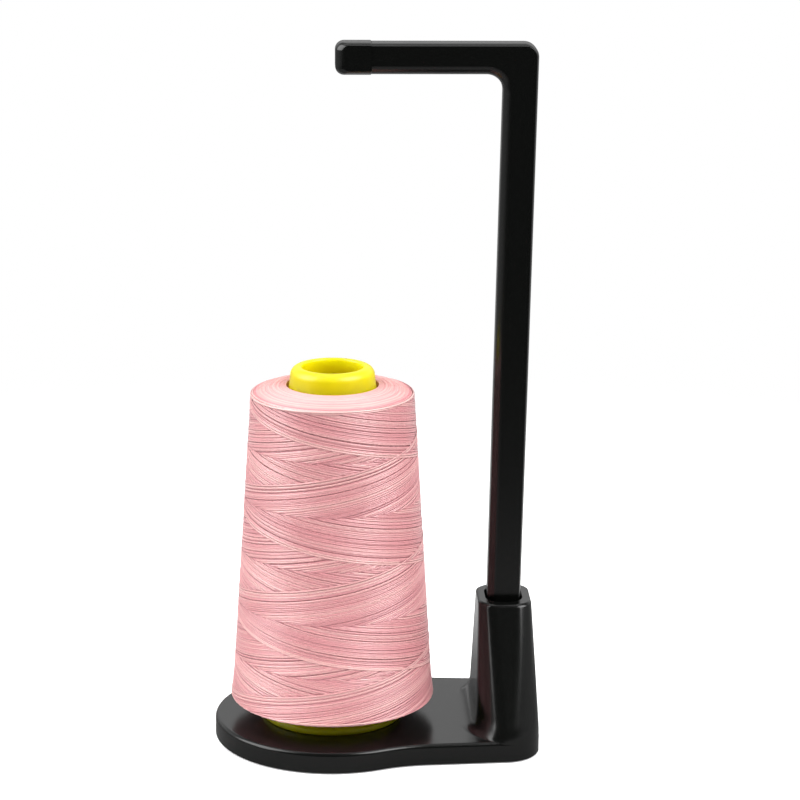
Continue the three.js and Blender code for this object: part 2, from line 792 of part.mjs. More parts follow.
// The outer layer of turns, one unbroken tube.
function threadWinding() {
  const rings = strandRings(strandPath());
  console.log(`least gap of the winding to itself: ${leastGap(rings).toFixed(2)} mm`);
  const positions = rings.flatMap((ring) => ring.flatMap((corner) => corner.toArray()));
  const index = [];
  for (let i = 0; i < rings.length - 1; i += 1) {
    for (let k = 0; k < strandSides; k += 1) {
      const a = i * strandSides + k;
      const b = i * strandSides + ((k + 1) % strandSides);
      index.push(a, b + strandSides, b, a, a + strandSides, b + strandSides);
    }
  }
  const last = (rings.length - 1) * strandSides;
  for (let k = 1; k < strandSides - 1; k += 1) {
    index.push(0, k, k + 1);
    index.push(last, last + k + 1, last + k);
  }
  const geometry = new THREE.BufferGeometry();
  geometry.setAttribute('position', new THREE.Float32BufferAttribute(positions, 3));
  geometry.setIndex(index);
  return geometry;
}

// A named piece with its finish.
function piece(name, geometry, finish) {
  const mesh = new THREE.Mesh(geometry, new THREE.MeshStandardMaterial(finish));
  mesh.name = name;
  return mesh;
}

// The stand
const stand = new THREE.Group();
stand.add(
  piece('base_shell', baseShell(), blackPlastic),
  piece('bottom_cover', bottomCover(), coverPlastic),
  piece('ballast_plate', ballastPlate(), steel),
  piece('spool_pin', spoolPin(), steel),
  piece('pin_screw', pinScrew(), steel),
  piece('pin_washer', pinWasher(), steel),
  piece('cone_adapter', coneAdapter(), whitePlastic),
  piece('thread_cone', threadCone(), yellowPlastic),
  piece('thread_core', threadCore(), pinkThread),
  piece('thread_winding', threadWinding(), pinkThread),
  piece('guide_arm', guideArm(), blackPlastic),
  piece('guide_cap', guideCap(), blackPlastic),
);
screwPlaces.forEach(([x, y], i) => {
  const screw = piece(`cover_screw_${i + 1}`, coverScrew(), steel);
  screw.position.set(x, y, 0);
  stand.add(screw);
});
footPlaces.forEach(([x, y], i) => {
  const foot = piece(`rubber_foot_${i + 1}`, rubberFoot(), rubber);
  foot.position.set(x, y, 0);
  stand.add(foot);
});
stand.position.x = -footprintCentre;

const model = new THREE.Group();
model.add(stand);
export default model;
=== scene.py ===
"""Looks of the thread spool stand: its finished pieces, materials, floor, light and camera.

Lengths are in millimetres and become metres where a mesh is made. Places along X and Y are measured
from the cone's axis, as on the stand itself; AXIS_X moves them to the shared frame, where the
middle of the footprint is.
"""

import math

import bmesh
import bpy
import numpy as np
from mathutils import Matrix, Vector


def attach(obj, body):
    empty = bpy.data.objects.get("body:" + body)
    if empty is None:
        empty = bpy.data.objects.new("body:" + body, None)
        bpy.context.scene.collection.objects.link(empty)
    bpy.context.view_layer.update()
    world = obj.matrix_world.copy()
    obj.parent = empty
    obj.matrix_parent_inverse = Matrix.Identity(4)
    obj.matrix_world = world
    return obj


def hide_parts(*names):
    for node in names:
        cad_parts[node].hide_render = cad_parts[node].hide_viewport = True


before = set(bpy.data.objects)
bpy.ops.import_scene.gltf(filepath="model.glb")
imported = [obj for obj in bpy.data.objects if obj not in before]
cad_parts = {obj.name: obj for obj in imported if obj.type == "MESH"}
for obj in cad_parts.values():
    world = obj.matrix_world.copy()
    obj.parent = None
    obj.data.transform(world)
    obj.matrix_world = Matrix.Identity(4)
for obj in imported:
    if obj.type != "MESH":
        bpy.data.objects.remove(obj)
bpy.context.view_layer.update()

MM = 0.001
TURN = 2 * math.pi
QUARTER = math.pi / 2
SHARP_ANGLE = 35  # degrees: a bend between two faces that is larger stays an edge
WELD_REACH = 2e-6  # metres
SLIVER_SIDES = 8  # the most sides of a hole that a dropped sliver leaves
SMALL_ROUND = 48  # faces round a screw or a hole
LARGE_ROUND = 64  # faces round a foot, the pin or the adapter

CLEARANCE = 0.3
OVERLAP = 0.2  # how far a form runs into the wall that it joins
PAST = 1.0  # how far a cutting form runs past the face that it cuts

# Base
DISC_RADIUS = 47.0
TAIL_END = 81.4
AXIS_X = -(TAIL_END - DISC_RADIUS) / 2
WALL_LOW = 0.4
PLATE_TOP = 8.7
PLATE_UNDERSIDE = 6.5
BASE_WALL = 2.4
PLATE_EDGE = 1.6
LOW_CHAMFER = 0.35  # at the wall's lower end
TAIL_HALF_DEPTH = 38.25
TAIL_DEPTH_AT = 45.0
TAIL_TAPER = math.radians(3.9)
TAIL_CORNER = 14.0
WAIST_RADIUS = 55.0
SCREW_INSET = 8.6  # from the outside of the base to a cover screw
FOOT_INSET = 10.0
BOSS_RADIUS = 3.4
BOSS_BORE = 1.7
BOSS_BOTTOM = 2.7
PIN_SEAT_RADIUS = 7.0
PIN_SEAT_HEIGHT = 3.0
PIN_SEAT_BORE = 3.8

# Tower
RIM_HEIGHT = 57.6
RIM_HALF_DEPTH = 13.4
RIM_LEFT = 57.6
RIM_RIGHT = 78.8
RIM_CORNER = 6.5
RIM_LIP = 1.2
FOOT_LEFT = 56.4
FOOT_CUT = 9.0  # how far the left corners' slants cut into the foot
RIM_CUT = 4.25
FOOT_SIDE_CORNER = 19.0  # rounding between a slant and the left face
FOOT_FRONT_CORNER = 8.0  # rounding between a slant and the front or back
FOOT_FILLET = 6.0
FOOT_FILLET_HEIGHT = 7.5
LEAN_BLEND = 3.5  # half the height over which the wall turns into the leaning faces
SETBACK = 0.05
CUT_PER_INSET = 0.586  # 2 less the square root of 2: what a slant loses when all faces move inwards
RIGHT_TANGENT = 0.94  # length of wall that a rounding takes per radius, at the right corners
SLANT_TANGENT = 0.45  # the same between a slant and the front or back
TOWER_WALL = 3.0
SLEEVE_WALL = 2.2
SLEEVE_DROP = 1.2  # from the rim down to the sleeve's top
SOCKET_FLOOR = 13.6
MOUTH_DEPTH = 4.0
MOUTH_WIDTH = 14.8
MOUTH_HALF_DEPTH = 10.2
MOUTH_CORNER = 6.6

# Arm and cap
POST_CENTRE = 68.1
LEAN = math.radians(0.93)
POST_WIDTH = 13.3
ARM_DEPTH = 12.8
ARM_HEIGHT = 12.0
ARM_TOP = 278.1
ARM_EDGE = 3.6
OUTER_EDGE = 1.0  # of the arm's top and right-hand side, and of the cap
EDGE_FLATNESS = 1.4
ELBOW_OUTER = 5.5
ELBOW_INNER = 6.4
TENON_INSET = 1.8  # from the arm's top and underside
TENON_WIDTH = 4.6  # its length, and half its depth
TENON_CORNER = 0.6
CAP_END = 0.9
CAP_LENGTH = 13.8
CAP_PROUD = 0.25
CAP_CORNER = 3.4
CAP_ROOT_CORNER = 0.5
CAP_GAP = 0.06
EYE_RADIUS = 3.2
EYE_FROM_END = 5.9

# Cone and thread
CONE_SLOPE = math.tan(math.radians(3.7))
CONE_BOTTOM = 8.8
CONE_FOOT_RADIUS = 28.4
CONE_FOOT_HEIGHT = 2.4
CONE_FOOT_EDGES = (0.4, 0.5)  # chamfers of its lower and upper edge
CONE_WALL = 1.8
CONE_NECK = 17.6
CONE_TOP = 151.7
CONE_HOLE = 12.0
RING_RADIUS = 16.95
RING_TAPER = 0.4
RING_SHOULDER = 3.5
RING_LIP = 0.9
RING_HEIGHT = 7.5
THREAD_BOTTOM = 17.0
THREAD_FLARE = 0.6  # how much wider the package's lowest turns are
THREAD_FLARE_HEIGHT = 12.0
THREAD_TOP = 141.3
THREAD_RADIUS = 40.3
THREAD_RISE = 3.2  # of the package's ends, from their rims to the cone
END_TURNS = 30  # ridges of thread across an end
END_RIM = 0.9  # where an end starts to fall off to its rim, as a share of its width
LEAD = 42.5  # how far the strand climbs in one turn
STRAND_PITCH = 0.68  # drawn a little coarser than the real 0.45 mm, so that single strands show
STRAND_HALF_WIDTH = 0.4
STRAND_HALF_THICKNESS = 0.13
LAYER_DROP = 0.27  # from the upper strands to the ones that they cross
CROSSING = 1.4  # in strands, how quickly one dives under another
EDGE_ROUND = 1.5  # rounding of the package's top and bottom edges
STEPS_PER_TURN = 60
RIM_STEPS_PER_TURN = 72
STRAND_SIDES = 4
FIRST_DOWN = 0.35  # turns from the top to the newest downward strand at the front
FIRST_UP = 0.61  # the same for the newest upward strand
SUNK_SHARE = 0.22  # of the strands that lie deeper than the rest

# Underneath and on the pin
COVER_UNDERSIDE = 0.8
COVER_THICKNESS = 1.6
COVER_CHAMFER = 0.3
SINK_DEPTH = 0.7
FOOT_RADIUS = 6.0
FOOT_HEIGHT = 1.1
SCREW_RADIUS = 1.4
SCREW_HEAD_RADIUS = 2.7
SCREW_HEAD_HEIGHT = 0.4
SCREW_LENGTH = 4.0
PIN_RADIUS = 3.5
PIN_TOP = 112.0
PIN_HOLE_RADIUS = 1.8
PIN_HOLE_TOP = 20.3
ADAPTER_BOTTOM = 12.0
ADAPTER_TOP = 70.0
ADAPTER_BORE = 3.8
ADAPTER_HUB = 6.0
FIN_COUNT = 6
FIN_THICKNESS = 1.6
FIN_CORNER = 4.0
FIN_ROOT = 0.4  # how far a fin runs into the hub

# Camera, from fitting the outlines in the photograph
PICTURE_WIDTH = 800
FOCAL_LENGTH = 2752.8  # in the picture's pixels
CAMERA_PLACE = (-13.42, -1043.3, 407.85)
HEADING = math.radians(2.186)
PITCH = math.radians(14.503)
ROLL = math.radians(0.362)
SENSOR_WIDTH = 36

# Floor, in metres
FLOOR_RADIUS = 0.7
FLOOR_SIDES = 96


def linear(hex_colour):
    """An sRGB hex colour as linear red, green, blue and alpha."""
    values = [int(hex_colour[i : i + 2], 16) / 255 for i in (1, 3, 5)]
    return [v / 12.92 if v <= 0.04045 else ((v + 0.055) / 1.055) ** 2.4 for v in values] + [1.0]


def add_node(tree, kind, inputs=None, **settings):
    """A shader node with its settings, and with its inputs set to values or linked to outputs."""
    node = tree.nodes.new(kind)
    for name, value in settings.items():
        setattr(node, name, value)
    for name, value in (inputs or {}).items():
        if isinstance(value, bpy.types.NodeSocket):
            tree.links.new(value, node.inputs[name])
        else:
            node.inputs[name].default_value = value
    return node


def new_material(name):
    """An empty material: itself, its nodes, and its object's own coordinates."""
    material = bpy.data.materials.new(name)
    material.use_nodes = True
    tree = material.node_tree
    tree.nodes.clear()
    return material, tree, add_node(tree, "ShaderNodeTexCoord").outputs["Object"]


# Shapes


def arc(centre_x, centre_y, radius, start, end, steps):
    """Points of an arc, both ends included."""
    angles = np.linspace(start, end, steps + 1)
    return np.column_stack((centre_x + radius * np.cos(angles), centre_y + radius * np.sin(angles)))


def rounding(radius, steps):
    """Step by step up a rounded edge, how far it has moved inwards and how far it is from its top."""
    angles = np.linspace(0, QUARTER, steps)
    return list(zip(radius * (1 - np.cos(angles)), radius * (1 - np.sin(angles))))


def rounded_outline(corners, radii, steps):
    """A convex anticlockwise polygon's outline with rounded corners."""
    corners = [np.array(c, float) for c in corners]
    points = []
    for i, corner in enumerate(corners):
        before = corners[i - 1] - corner
        after = corners[(i + 1) % len(corners)] - corner
        before /= np.linalg.norm(before)
        after /= np.linalg.norm(after)
        half = math.acos(np.clip(before @ after, -1, 1)) / 2
        middle = before + after
        centre = corner + middle / np.linalg.norm(middle) * radii[i] / math.sin(half)
        start = math.atan2(-before[0], before[1]) + math.pi
        sweep = (math.atan2(after[0], -after[1]) - start + math.pi) % TURN
        points.append(arc(centre[0], centre[1], radii[i], start, start + sweep, steps))
    return np.vstack(points)


def rectangle(left, right, half_depth):
    return [(right, -half_depth), (right, half_depth), (left, half_depth), (left, -half_depth)]


def at_height(outline, z):
    return np.column_stack((outline, np.full(len(outline), z)))


def loft(rings):
    """Points and faces of a closed body through rings of one length."""
    count = len(rings[0])
    faces = [tuple(reversed(range(count)))]
    for r in range(len(rings) - 1):
        low = r * count
        for i in range(count):
            j = (i + 1) % count
            faces.append((low + i, low + j, low + count + j, low + count + i))
    last = (len(rings) - 1) * count
    faces.append(tuple(range(last, last + count)))
    return np.vstack(rings), faces


def revolved(profile, segments):
    """Points and faces of a closed body of revolution, from [radius, height] pairs that run upwards
    on the outside. A profile either starts and ends on the axis or closes on itself."""
    on_axis = profile[0][0] == 0
    angles = np.arange(segments) * TURN / segments
    points, faces, rows = [], [], []
    for radius, z in profile:
        if radius == 0:
            rows.append([len(points)] * segments)
            points.append((0, 0, z))
        else:
            rows.append(list(range(len(points), len(points) + segments)))
            points += [(radius * math.cos(a), radius * math.sin(a), z) for a in angles]
    pairs = list(zip(rows, rows[1:]))
    if not on_axis:
        pairs.append((rows[-1], rows[0]))
    for low, high in pairs:
        for i in range(segments):
            j = (i + 1) % segments
            face = list(dict.fromkeys((low[i], low[j], high[j], high[i])))
            if len(face) > 2:
                faces.append(tuple(face))
    return np.array(points, float), faces


def round_bar(radius, low, high):
    return revolved([[0, low], [radius, low], [radius, high], [0, high]], SMALL_ROUND)


def round_the_axis(radius, angle, z):
    """Points or directions from their distance and angle round the upright axis and their height."""
    return np.column_stack((radius * np.cos(angle), radius * np.sin(angle), z))


def moved(shape, x=0.0, y=0.0, z=0.0):
    points, faces = shape
    return points + np.array((x, y, z)), faces


def round_off(mesh, angle):
    """Smooth shading over every bend that is no sharper than the angle in degrees."""
    mesh.polygons.foreach_set("use_smooth", [True] * len(mesh.polygons))
    mesh.set_sharp_from_angle(angle=math.radians(angle))


def add_to_scene(name, data):
    made = bpy.data.objects.new(name, data)
    bpy.context.scene.collection.objects.link(made)
    return made


def make_object(name, shape, smooth_angle=SHARP_ANGLE):
    """A mesh object from points and faces in millimetres, measured from the cone's axis."""
    points, faces = shape
    mesh = bpy.data.meshes.new(name)
    mesh.from_pydata(((points + np.array((AXIS_X, 0, 0))) * MM).tolist(), [], faces)
    mesh.validate()
    round_off(mesh, smooth_angle)
    return add_to_scene(name, mesh)


def boolean(target, shape, operation):
    tool = make_object("tool", shape)
    modifier = target.modifiers.new(operation, "BOOLEAN")
    modifier.operation = operation
    modifier.object = tool
    modifier.solver = "EXACT"
    graph = bpy.context.evaluated_depsgraph_get()
    graph.update()
    result = bpy.data.meshes.new_from_object(target.evaluated_get(graph))
    target.modifiers.clear()
    target.data = result
    bpy.data.objects.remove(tool)


def join(target, shape):
    boolean(target, shape, "UNION")


def cut(target, shape):
    boolean(target, shape, "DIFFERENCE")


def weld(target):
    """Joins the points that booleans left almost on each other, and closes what is left of slivers."""
    shape = bmesh.new()
    shape.from_mesh(target.data)
    bmesh.ops.remove_doubles(shape, verts=shape.verts, dist=WELD_REACH)
    bmesh.ops.dissolve_degenerate(shape, edges=shape.edges, dist=WELD_REACH)
    bmesh.ops.holes_fill(shape, edges=shape.edges, sides=SLIVER_SIDES)
    shape.to_mesh(target.data)
    shape.free()


def smooth(target, angle=SHARP_ANGLE):
    """Welds a piece and smooths its shading, with flat faces kept flat."""
    weld(target)
    round_off(target.data, angle)
    modifier = target.modifiers.new("flat faces", "WEIGHTED_NORMAL")
    modifier.keep_sharp = True
    modifier.mode = "FACE_AREA"


def finish_piece(piece, body, material, nodes):
    piece.data.materials.clear()
    piece.data.materials.append(material)
    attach(piece, body)
    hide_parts(*nodes)


# Materials


def moulded_abs():
    """Black ABS from a polished mould: glossy, with faint ripples that break up its highlights."""
    material, tree, place = new_material("moulded_abs")
    # The mould's polish leaves ripples about 2 mm wide, and fine pits about 0.3 mm wide.
    ripple = add_node(tree, "ShaderNodeTexNoise", {"Vector": place, "Scale": 500, "Detail": 2})
    pits = add_node(tree, "ShaderNodeTexNoise", {"Vector": place, "Scale": 3500, "Detail": 1})
    waves = ripple.outputs["Fac"]
    both = add_node(
        tree, "ShaderNodeMath", {0: pits.outputs["Fac"], 1: 0.3, 2: waves}, operation="MULTIPLY_ADD"
    )
    bump = add_node(
        tree, "ShaderNodeBump", {"Height": both.outputs[0], "Strength": 0.12, "Distance": 0.00012}
    )
    rough = add_node(tree, "ShaderNodeMapRange", {"Value": waves, "To Min": 0.17, "To Max": 0.25})
    shader = add_node(
        tree, "ShaderNodeBsdfPrincipled",
        {
            "Base Color": linear("#090a09"), "IOR": 1.53, "Specular IOR Level": 0.34,
            "Normal": bump.outputs["Normal"], "Roughness": rough.outputs["Result"],
        },
    )
    add_node(tree, "ShaderNodeOutputMaterial", {"Surface": shader.outputs["BSDF"]})
    return material


def turns_seen_from_the_end(tree, place):
    """Noise that follows the turns round the cone's axis, each about 0.7 mm wide. That is a little
    coarser than the real 0.45 mm, so that it shows."""
    flat = add_node(
        tree, "ShaderNodeVectorMath", {0: place, 1: (1, 1, 0), 2: (-AXIS_X * MM, 0, 0)},
        operation="MULTIPLY_ADD",
    )
    radius = add_node(tree, "ShaderNodeVectorMath", {0: flat.outputs[0]}, operation="LENGTH")
    # The turns cross each other here and there, by about 1 mm.
    wander = add_node(tree, "ShaderNodeTexNoise", {"Vector": place, "Scale": 60, "Detail": 1})
    across = add_node(
        tree, "ShaderNodeMath", {0: wander.outputs["Fac"], 1: 0.0025, 2: radius.outputs["Value"]},
        operation="MULTIPLY_ADD",
    )
    return add_node(
        tree, "ShaderNodeTexNoise", {"W": across.outputs[0], "Scale": 1500, "Detail": 2},
        noise_dimensions="1D",
    )


def trilobal_polyester(name, roughness, gloss, from_end=False):
    """Pink trilobal polyester thread: satin, with the high index of drawn polyester fibre. Its
    strands differ slightly in tone, carry painted shade and painted highlights, and each varies a
    little about every 0.6 mm."""
    material, tree, place = new_material(name)
    strand = add_node(tree, "ShaderNodeAttribute", attribute_name="shade")
    if from_end:
        noise = turns_seen_from_the_end(tree, place)
        contrast = 0.34
    else:
        noise = add_node(tree, "ShaderNodeTexNoise", {"Vector": place, "Scale": 1800, "Detail": 2})
        contrast = 0.16
    fibre = noise.outputs["Fac"]
    mix = add_node(
        tree, "ShaderNodeMath", {0: fibre, 1: contrast, 2: strand.outputs["Fac"]},
        operation="MULTIPLY_ADD", use_clamp=True,
    )
    # From painted shade in the gaps between the strands to a strand's side and to a painted
    # highlight on its bright crest
    ramp = add_node(tree, "ShaderNodeValToRGB", {"Fac": mix.outputs[0]})
    stops = ramp.color_ramp.elements
    stops[0].color = linear("#b46e75")
    stops[1].color = linear("#eec8bf")
    stops.new(0.65).color = linear("#d08a8e")
    bump = add_node(tree, "ShaderNodeBump", {"Height": fibre, "Strength": 0.2, "Distance": 0.0001})
    shader = add_node(
        tree, "ShaderNodeBsdfPrincipled",
        {
            "Base Color": ramp.outputs["Color"], "Normal": bump.outputs["Normal"],
            "IOR": 1.7, "Roughness": roughness, "Specular IOR Level": gloss,
            "Sheen Weight": 0.12, "Sheen Roughness": 0.4,
        },
    )
    add_node(tree, "ShaderNodeOutputMaterial", {"Surface": shader.outputs["BSDF"]})
    return material


def moulded_plastic(name, light, dark, low, high, grain, depth=0.3, inside=None):
    """A moulded plastic or rubber whose colour, gloss and surface vary a little with its grain.
    Low and high are its roughness, grain is in millimetres, and inside is what light does in it."""
    material, tree, place = new_material(name)
    scale = 1000 / grain
    noise = add_node(tree, "ShaderNodeTexNoise", {"Vector": place, "Scale": scale, "Detail": 3})
    level = noise.outputs["Fac"]
    colour = add_node(
        tree, "ShaderNodeMix", {"Factor": level, "A": linear(dark), "B": linear(light)}, data_type="RGBA"
    )
    bump = add_node(tree, "ShaderNodeBump", {"Height": level, "Strength": depth, "Distance": 0.0001})
    rough = add_node(tree, "ShaderNodeMapRange", {"Value": level, "To Min": low, "To Max": high})
    shader = add_node(
        tree, "ShaderNodeBsdfPrincipled",
        {
            "Base Color": colour.outputs["Result"], "Normal": bump.outputs["Normal"],
            "Roughness": rough.outputs["Result"], **(inside or {"IOR": 1.5}),
        },
    )
    add_node(tree, "ShaderNodeOutputMaterial", {"Surface": shader.outputs["BSDF"]})
    return material


def zinc_plated_steel():
    """Bright zinc plate on turned steel: a soft metallic shine with fine turning marks."""
    material, tree, place = new_material("zinc_plated_steel")
    # The marks are 0.25 mm apart along the axis and 5 mm long.
    stretch = add_node(tree, "ShaderNodeMapping", {"Vector": place, "Scale": (200, 200, 4000)})
    marks = add_node(
        tree, "ShaderNodeTexNoise", {"Vector": stretch.outputs[0], "Scale": 1, "Detail": 2}
    )
    rough = add_node(
        tree, "ShaderNodeMapRange", {"Value": marks.outputs["Fac"], "To Min": 0.25, "To Max": 0.45}
    )
    shader = add_node(
        tree, "ShaderNodeBsdfPrincipled",
        {"Base Color": linear("#b9bcbe"), "Metallic": 1.0, "Roughness": rough.outputs["Result"]},
    )
    add_node(tree, "ShaderNodeOutputMaterial", {"Surface": shader.outputs["BSDF"]})
    return material


# Base


def base_outline(inset):
    """The base from above, moved inwards: disc, waists, tail sides and end corners."""
    side = np.array((math.cos(TAIL_TAPER), -math.sin(TAIL_TAPER)))
    outward = np.array((math.sin(TAIL_TAPER), math.cos(TAIL_TAPER)))
    start = np.array((TAIL_DEPTH_AT, TAIL_HALF_DEPTH)) + outward * WAIST_RADIUS
    along = start @ side
    reach = (DISC_RADIUS + WAIST_RADIUS) ** 2
    waist = start + side * (math.sqrt(along**2 - start @ start + reach) - along)
    corner_x = TAIL_END - TAIL_CORNER
    drop = math.sin(TAIL_TAPER) * (corner_x - TAIL_DEPTH_AT) + TAIL_CORNER
    corner_y = TAIL_HALF_DEPTH - drop / math.cos(TAIL_TAPER)
    meet = math.atan2(waist[1], waist[0])
    corner = TAIL_CORNER - inset
    hollow = WAIST_RADIUS + inset
    return np.vstack((
        arc(corner_x, -corner_y, corner, TAIL_TAPER - QUARTER, 0, 16),
        arc(corner_x, corner_y, corner, 0, QUARTER - TAIL_TAPER, 16),
        arc(waist[0], waist[1], hollow, 3 * QUARTER - TAIL_TAPER, math.pi + meet, 16),
        arc(0, 0, DISC_RADIUS - inset, meet, TURN - meet, 128)[1:-1],
        arc(waist[0], -waist[1], hollow, math.pi - meet, QUARTER + TAIL_TAPER, 16),
    ))


def plate_shape():
    levels = [(LOW_CHAMFER, WALL_LOW), (0, WALL_LOW + LOW_CHAMFER)]
    levels += [(inset, PLATE_TOP - drop) for inset, drop in rounding(PLATE_EDGE, 9)]
    return loft([at_height(base_outline(inset), z) for inset, z in levels])


def tail_half_depth(x):
    return TAIL_HALF_DEPTH - (x - TAIL_DEPTH_AT) * math.tan(TAIL_TAPER)


def tower_outline(z, inset=0.0, flare=0.0):
    """The tower from above at a height, moved inwards, or widened to the left where its foot flares."""
    share = np.clip((z - PLATE_TOP) / (RIM_HEIGHT - PLATE_TOP), 0, 1)

    def between(low, high, part=share):
        return low + (high - low) * part

    left = between(FOOT_LEFT, RIM_LEFT) - flare + inset
    right = between(TAIL_END - SETBACK, RIM_RIGHT) - inset
    blend = 1 - (1 - share) ** 1.5
    right_radius = between(TAIL_CORNER, RIM_CORNER, blend) - inset
    slant = between(FOOT_CUT, RIM_CUT) + flare / 2 - inset * CUT_PER_INSET
    side_radius = between(FOOT_SIDE_CORNER, RIM_CORNER) + flare - inset
    front_radius = between(FOOT_FRONT_CORNER, RIM_CORNER) + flare / 2 - inset
    # Inside the wall there is less room for the slants and their roundings.
    room = right - left - RIGHT_TANGENT * right_radius
    fit = min(1, room / (slant + SLANT_TANGENT * front_radius))
    slant, side_radius, front_radius = slant * fit, side_radius * fit, front_radius * fit

    def depth(x):
        wall = tail_half_depth(x) - SETBACK
        bend = PLATE_TOP - PLATE_EDGE + LEAN_BLEND
        slope = (wall - RIM_HALF_DEPTH) / (RIM_HEIGHT - bend)
        above = z - bend
        reach = np.clip(above + LEAN_BLEND, 0, 2 * LEAN_BLEND)
        return wall - slope * (reach**2 / (4 * LEAN_BLEND) + max(above - LEAN_BLEND, 0)) - inset

    corners = [
        (right, -depth(right)), (right, depth(right)),
        (left + slant, depth(left + slant)), (left, depth(left) - slant),
        (left, slant - depth(left)), (left + slant, -depth(left + slant)),
    ]
    radii = [right_radius, right_radius, front_radius, side_radius, side_radius, front_radius]
    return rounded_outline(corners, radii, 14)


def tower_shape():
    # It starts inside the plate.
    low = PLATE_UNDERSIDE + OVERLAP / 2
    levels = [(z, 0, FOOT_FILLET) for z in np.linspace(low, PLATE_TOP, 6)[:-1]]
    for angle in np.linspace(0, QUARTER, 13):
        z = PLATE_TOP + FOOT_FILLET_HEIGHT * (1 - math.cos(angle))
        levels.append((z, 0, FOOT_FILLET * (1 - math.sin(angle))))
    walls = np.linspace(PLATE_TOP + FOOT_FILLET_HEIGHT, RIM_HEIGHT - RIM_LIP, 24)[1:-1]
    levels += [(z, 0, 0) for z in walls]
    levels += [(RIM_HEIGHT - drop, inset, 0) for inset, drop in rounding(RIM_LIP, 9)]
    return loft([at_height(tower_outline(*level), level[0]) for level in levels])


def tower_hollow():
    high = RIM_HEIGHT - MOUTH_DEPTH - TOWER_WALL
    heights = np.linspace(PLATE_UNDERSIDE - PAST, high, 8)
    return loft([at_height(tower_outline(z, TOWER_WALL), z) for z in heights])


def post_middle(z):
    return POST_CENTRE + (z - RIM_HEIGHT) * math.tan(LEAN)


def leaning_bar(width, half_depth, corner, low, high):
    """A bar with rounded corners along the leaning post."""
    rings = []
    for z in (low, high):
        corners = rectangle(post_middle(z) - width / 2, post_middle(z) + width / 2, half_depth)
        rings.append(at_height(rounded_outline(corners, [corner] * 4, 10), z))
    return loft(rings)


def on_disc(inset, angle):
    reach = DISC_RADIUS - inset
    return reach * math.cos(math.radians(angle)), reach * math.sin(math.radians(angle))


def on_tail(x, inset):
    y = tail_half_depth(x) - inset
    return [(x, y), (x, -y)]


FOOT_PLACES = [
    *(on_disc(FOOT_INSET, angle) for angle in (123, -123)),
    *on_tail(TAIL_END - TAIL_CORNER, TAIL_CORNER),
]
SCREW_PLACES = [
    *(on_disc(SCREW_INSET, angle) for angle in (180, 72, -72)),
    *on_tail(TAIL_DEPTH_AT, SCREW_INSET),
]


def base_piece(material):
    base = make_object("base_moulding", plate_shape())
    join(base, tower_shape())
    hollow = [at_height(base_outline(BASE_WALL), z) for z in (WALL_LOW - PAST, PLATE_UNDERSIDE)]
    cut(base, loft(hollow))
    cut(base, tower_hollow())
    width = POST_WIDTH + 2 * CLEARANCE
    half_depth = ARM_DEPTH / 2 + CLEARANCE
    corner = ARM_EDGE + CLEARANCE
    join(base, leaning_bar(
        width + 2 * SLEEVE_WALL, half_depth + SLEEVE_WALL, corner + SLEEVE_WALL,
        SOCKET_FLOOR - SLEEVE_WALL, RIM_HEIGHT - SLEEVE_DROP,
    ))
    top = RIM_HEIGHT + PAST
    cut(base, leaning_bar(width, half_depth, corner, SOCKET_FLOOR, top))
    cut(base, leaning_bar(MOUTH_WIDTH, MOUTH_HALF_DEPTH, MOUTH_CORNER, RIM_HEIGHT - MOUTH_DEPTH, top))
    boss_top = PLATE_UNDERSIDE + OVERLAP
    for x, y in SCREW_PLACES:
        join(base, moved(round_bar(BOSS_RADIUS, BOSS_BOTTOM, boss_top), x, y))
        cut(base, moved(round_bar(BOSS_BORE, BOSS_BOTTOM - PAST, boss_top), x, y))
    seat_top = PLATE_TOP + PIN_SEAT_HEIGHT
    join(base, round_bar(PIN_SEAT_RADIUS, PLATE_UNDERSIDE, seat_top))
    cut(base, round_bar(PIN_SEAT_BORE, PLATE_TOP, seat_top + PAST))
    cut(base, round_bar(PIN_HOLE_RADIUS, PLATE_UNDERSIDE - PAST, PLATE_TOP + PAST))
    smooth(base)
    finish_piece(base, "stand", material, ["base_shell"])


# Arm and cap


def arm_outline(inset):
    """The arm from the front, in X and Z, moved inwards, less so on its outer side."""
    outer = inset * OUTER_EDGE / ARM_EDGE
    elbow_x = post_middle(ARM_TOP) + POST_WIDTH / 2 - ELBOW_OUTER
    underside = ARM_TOP - ARM_HEIGHT
    inner_x = post_middle(underside) - POST_WIDTH / 2 - ELBOW_INNER
    low = SOCKET_FLOOR + CLEARANCE + inset
    shoulder = CAP_END + CAP_LENGTH + CAP_GAP
    foot = post_middle(low)
    return np.vstack((
        [(foot - POST_WIDTH / 2 + inset, low), (foot + POST_WIDTH / 2 - outer, low)],
        arc(elbow_x, ARM_TOP - ELBOW_OUTER, ELBOW_OUTER - outer, -LEAN, QUARTER, 14),
        [(shoulder, ARM_TOP - outer), (shoulder, underside + inset)],
        arc(inner_x, underside - ELBOW_INNER, ELBOW_INNER + inset, QUARTER, -LEAN, 14),
    ))


def rounded_slab(outline, half_depth, edge, steps=10):
    """A body with a front outline in X and Z, a depth along Y, and front and back edges between a
    rounding and a chamfer."""
    rings = []
    for angle in np.concatenate((np.linspace(-QUARTER, 0, steps), np.linspace(0, QUARTER, steps))):
        sign = -1 if len(rings) < steps else 1
        flat = outline(edge * (1 - abs(math.cos(angle)) ** EDGE_FLATNESS))
        y = sign * (half_depth - edge + edge * abs(math.sin(angle)) ** EDGE_FLATNESS)
        rings.append(np.column_stack((flat[:, 0], np.full(len(flat), -y), flat[:, 1])))
    return loft(rings)


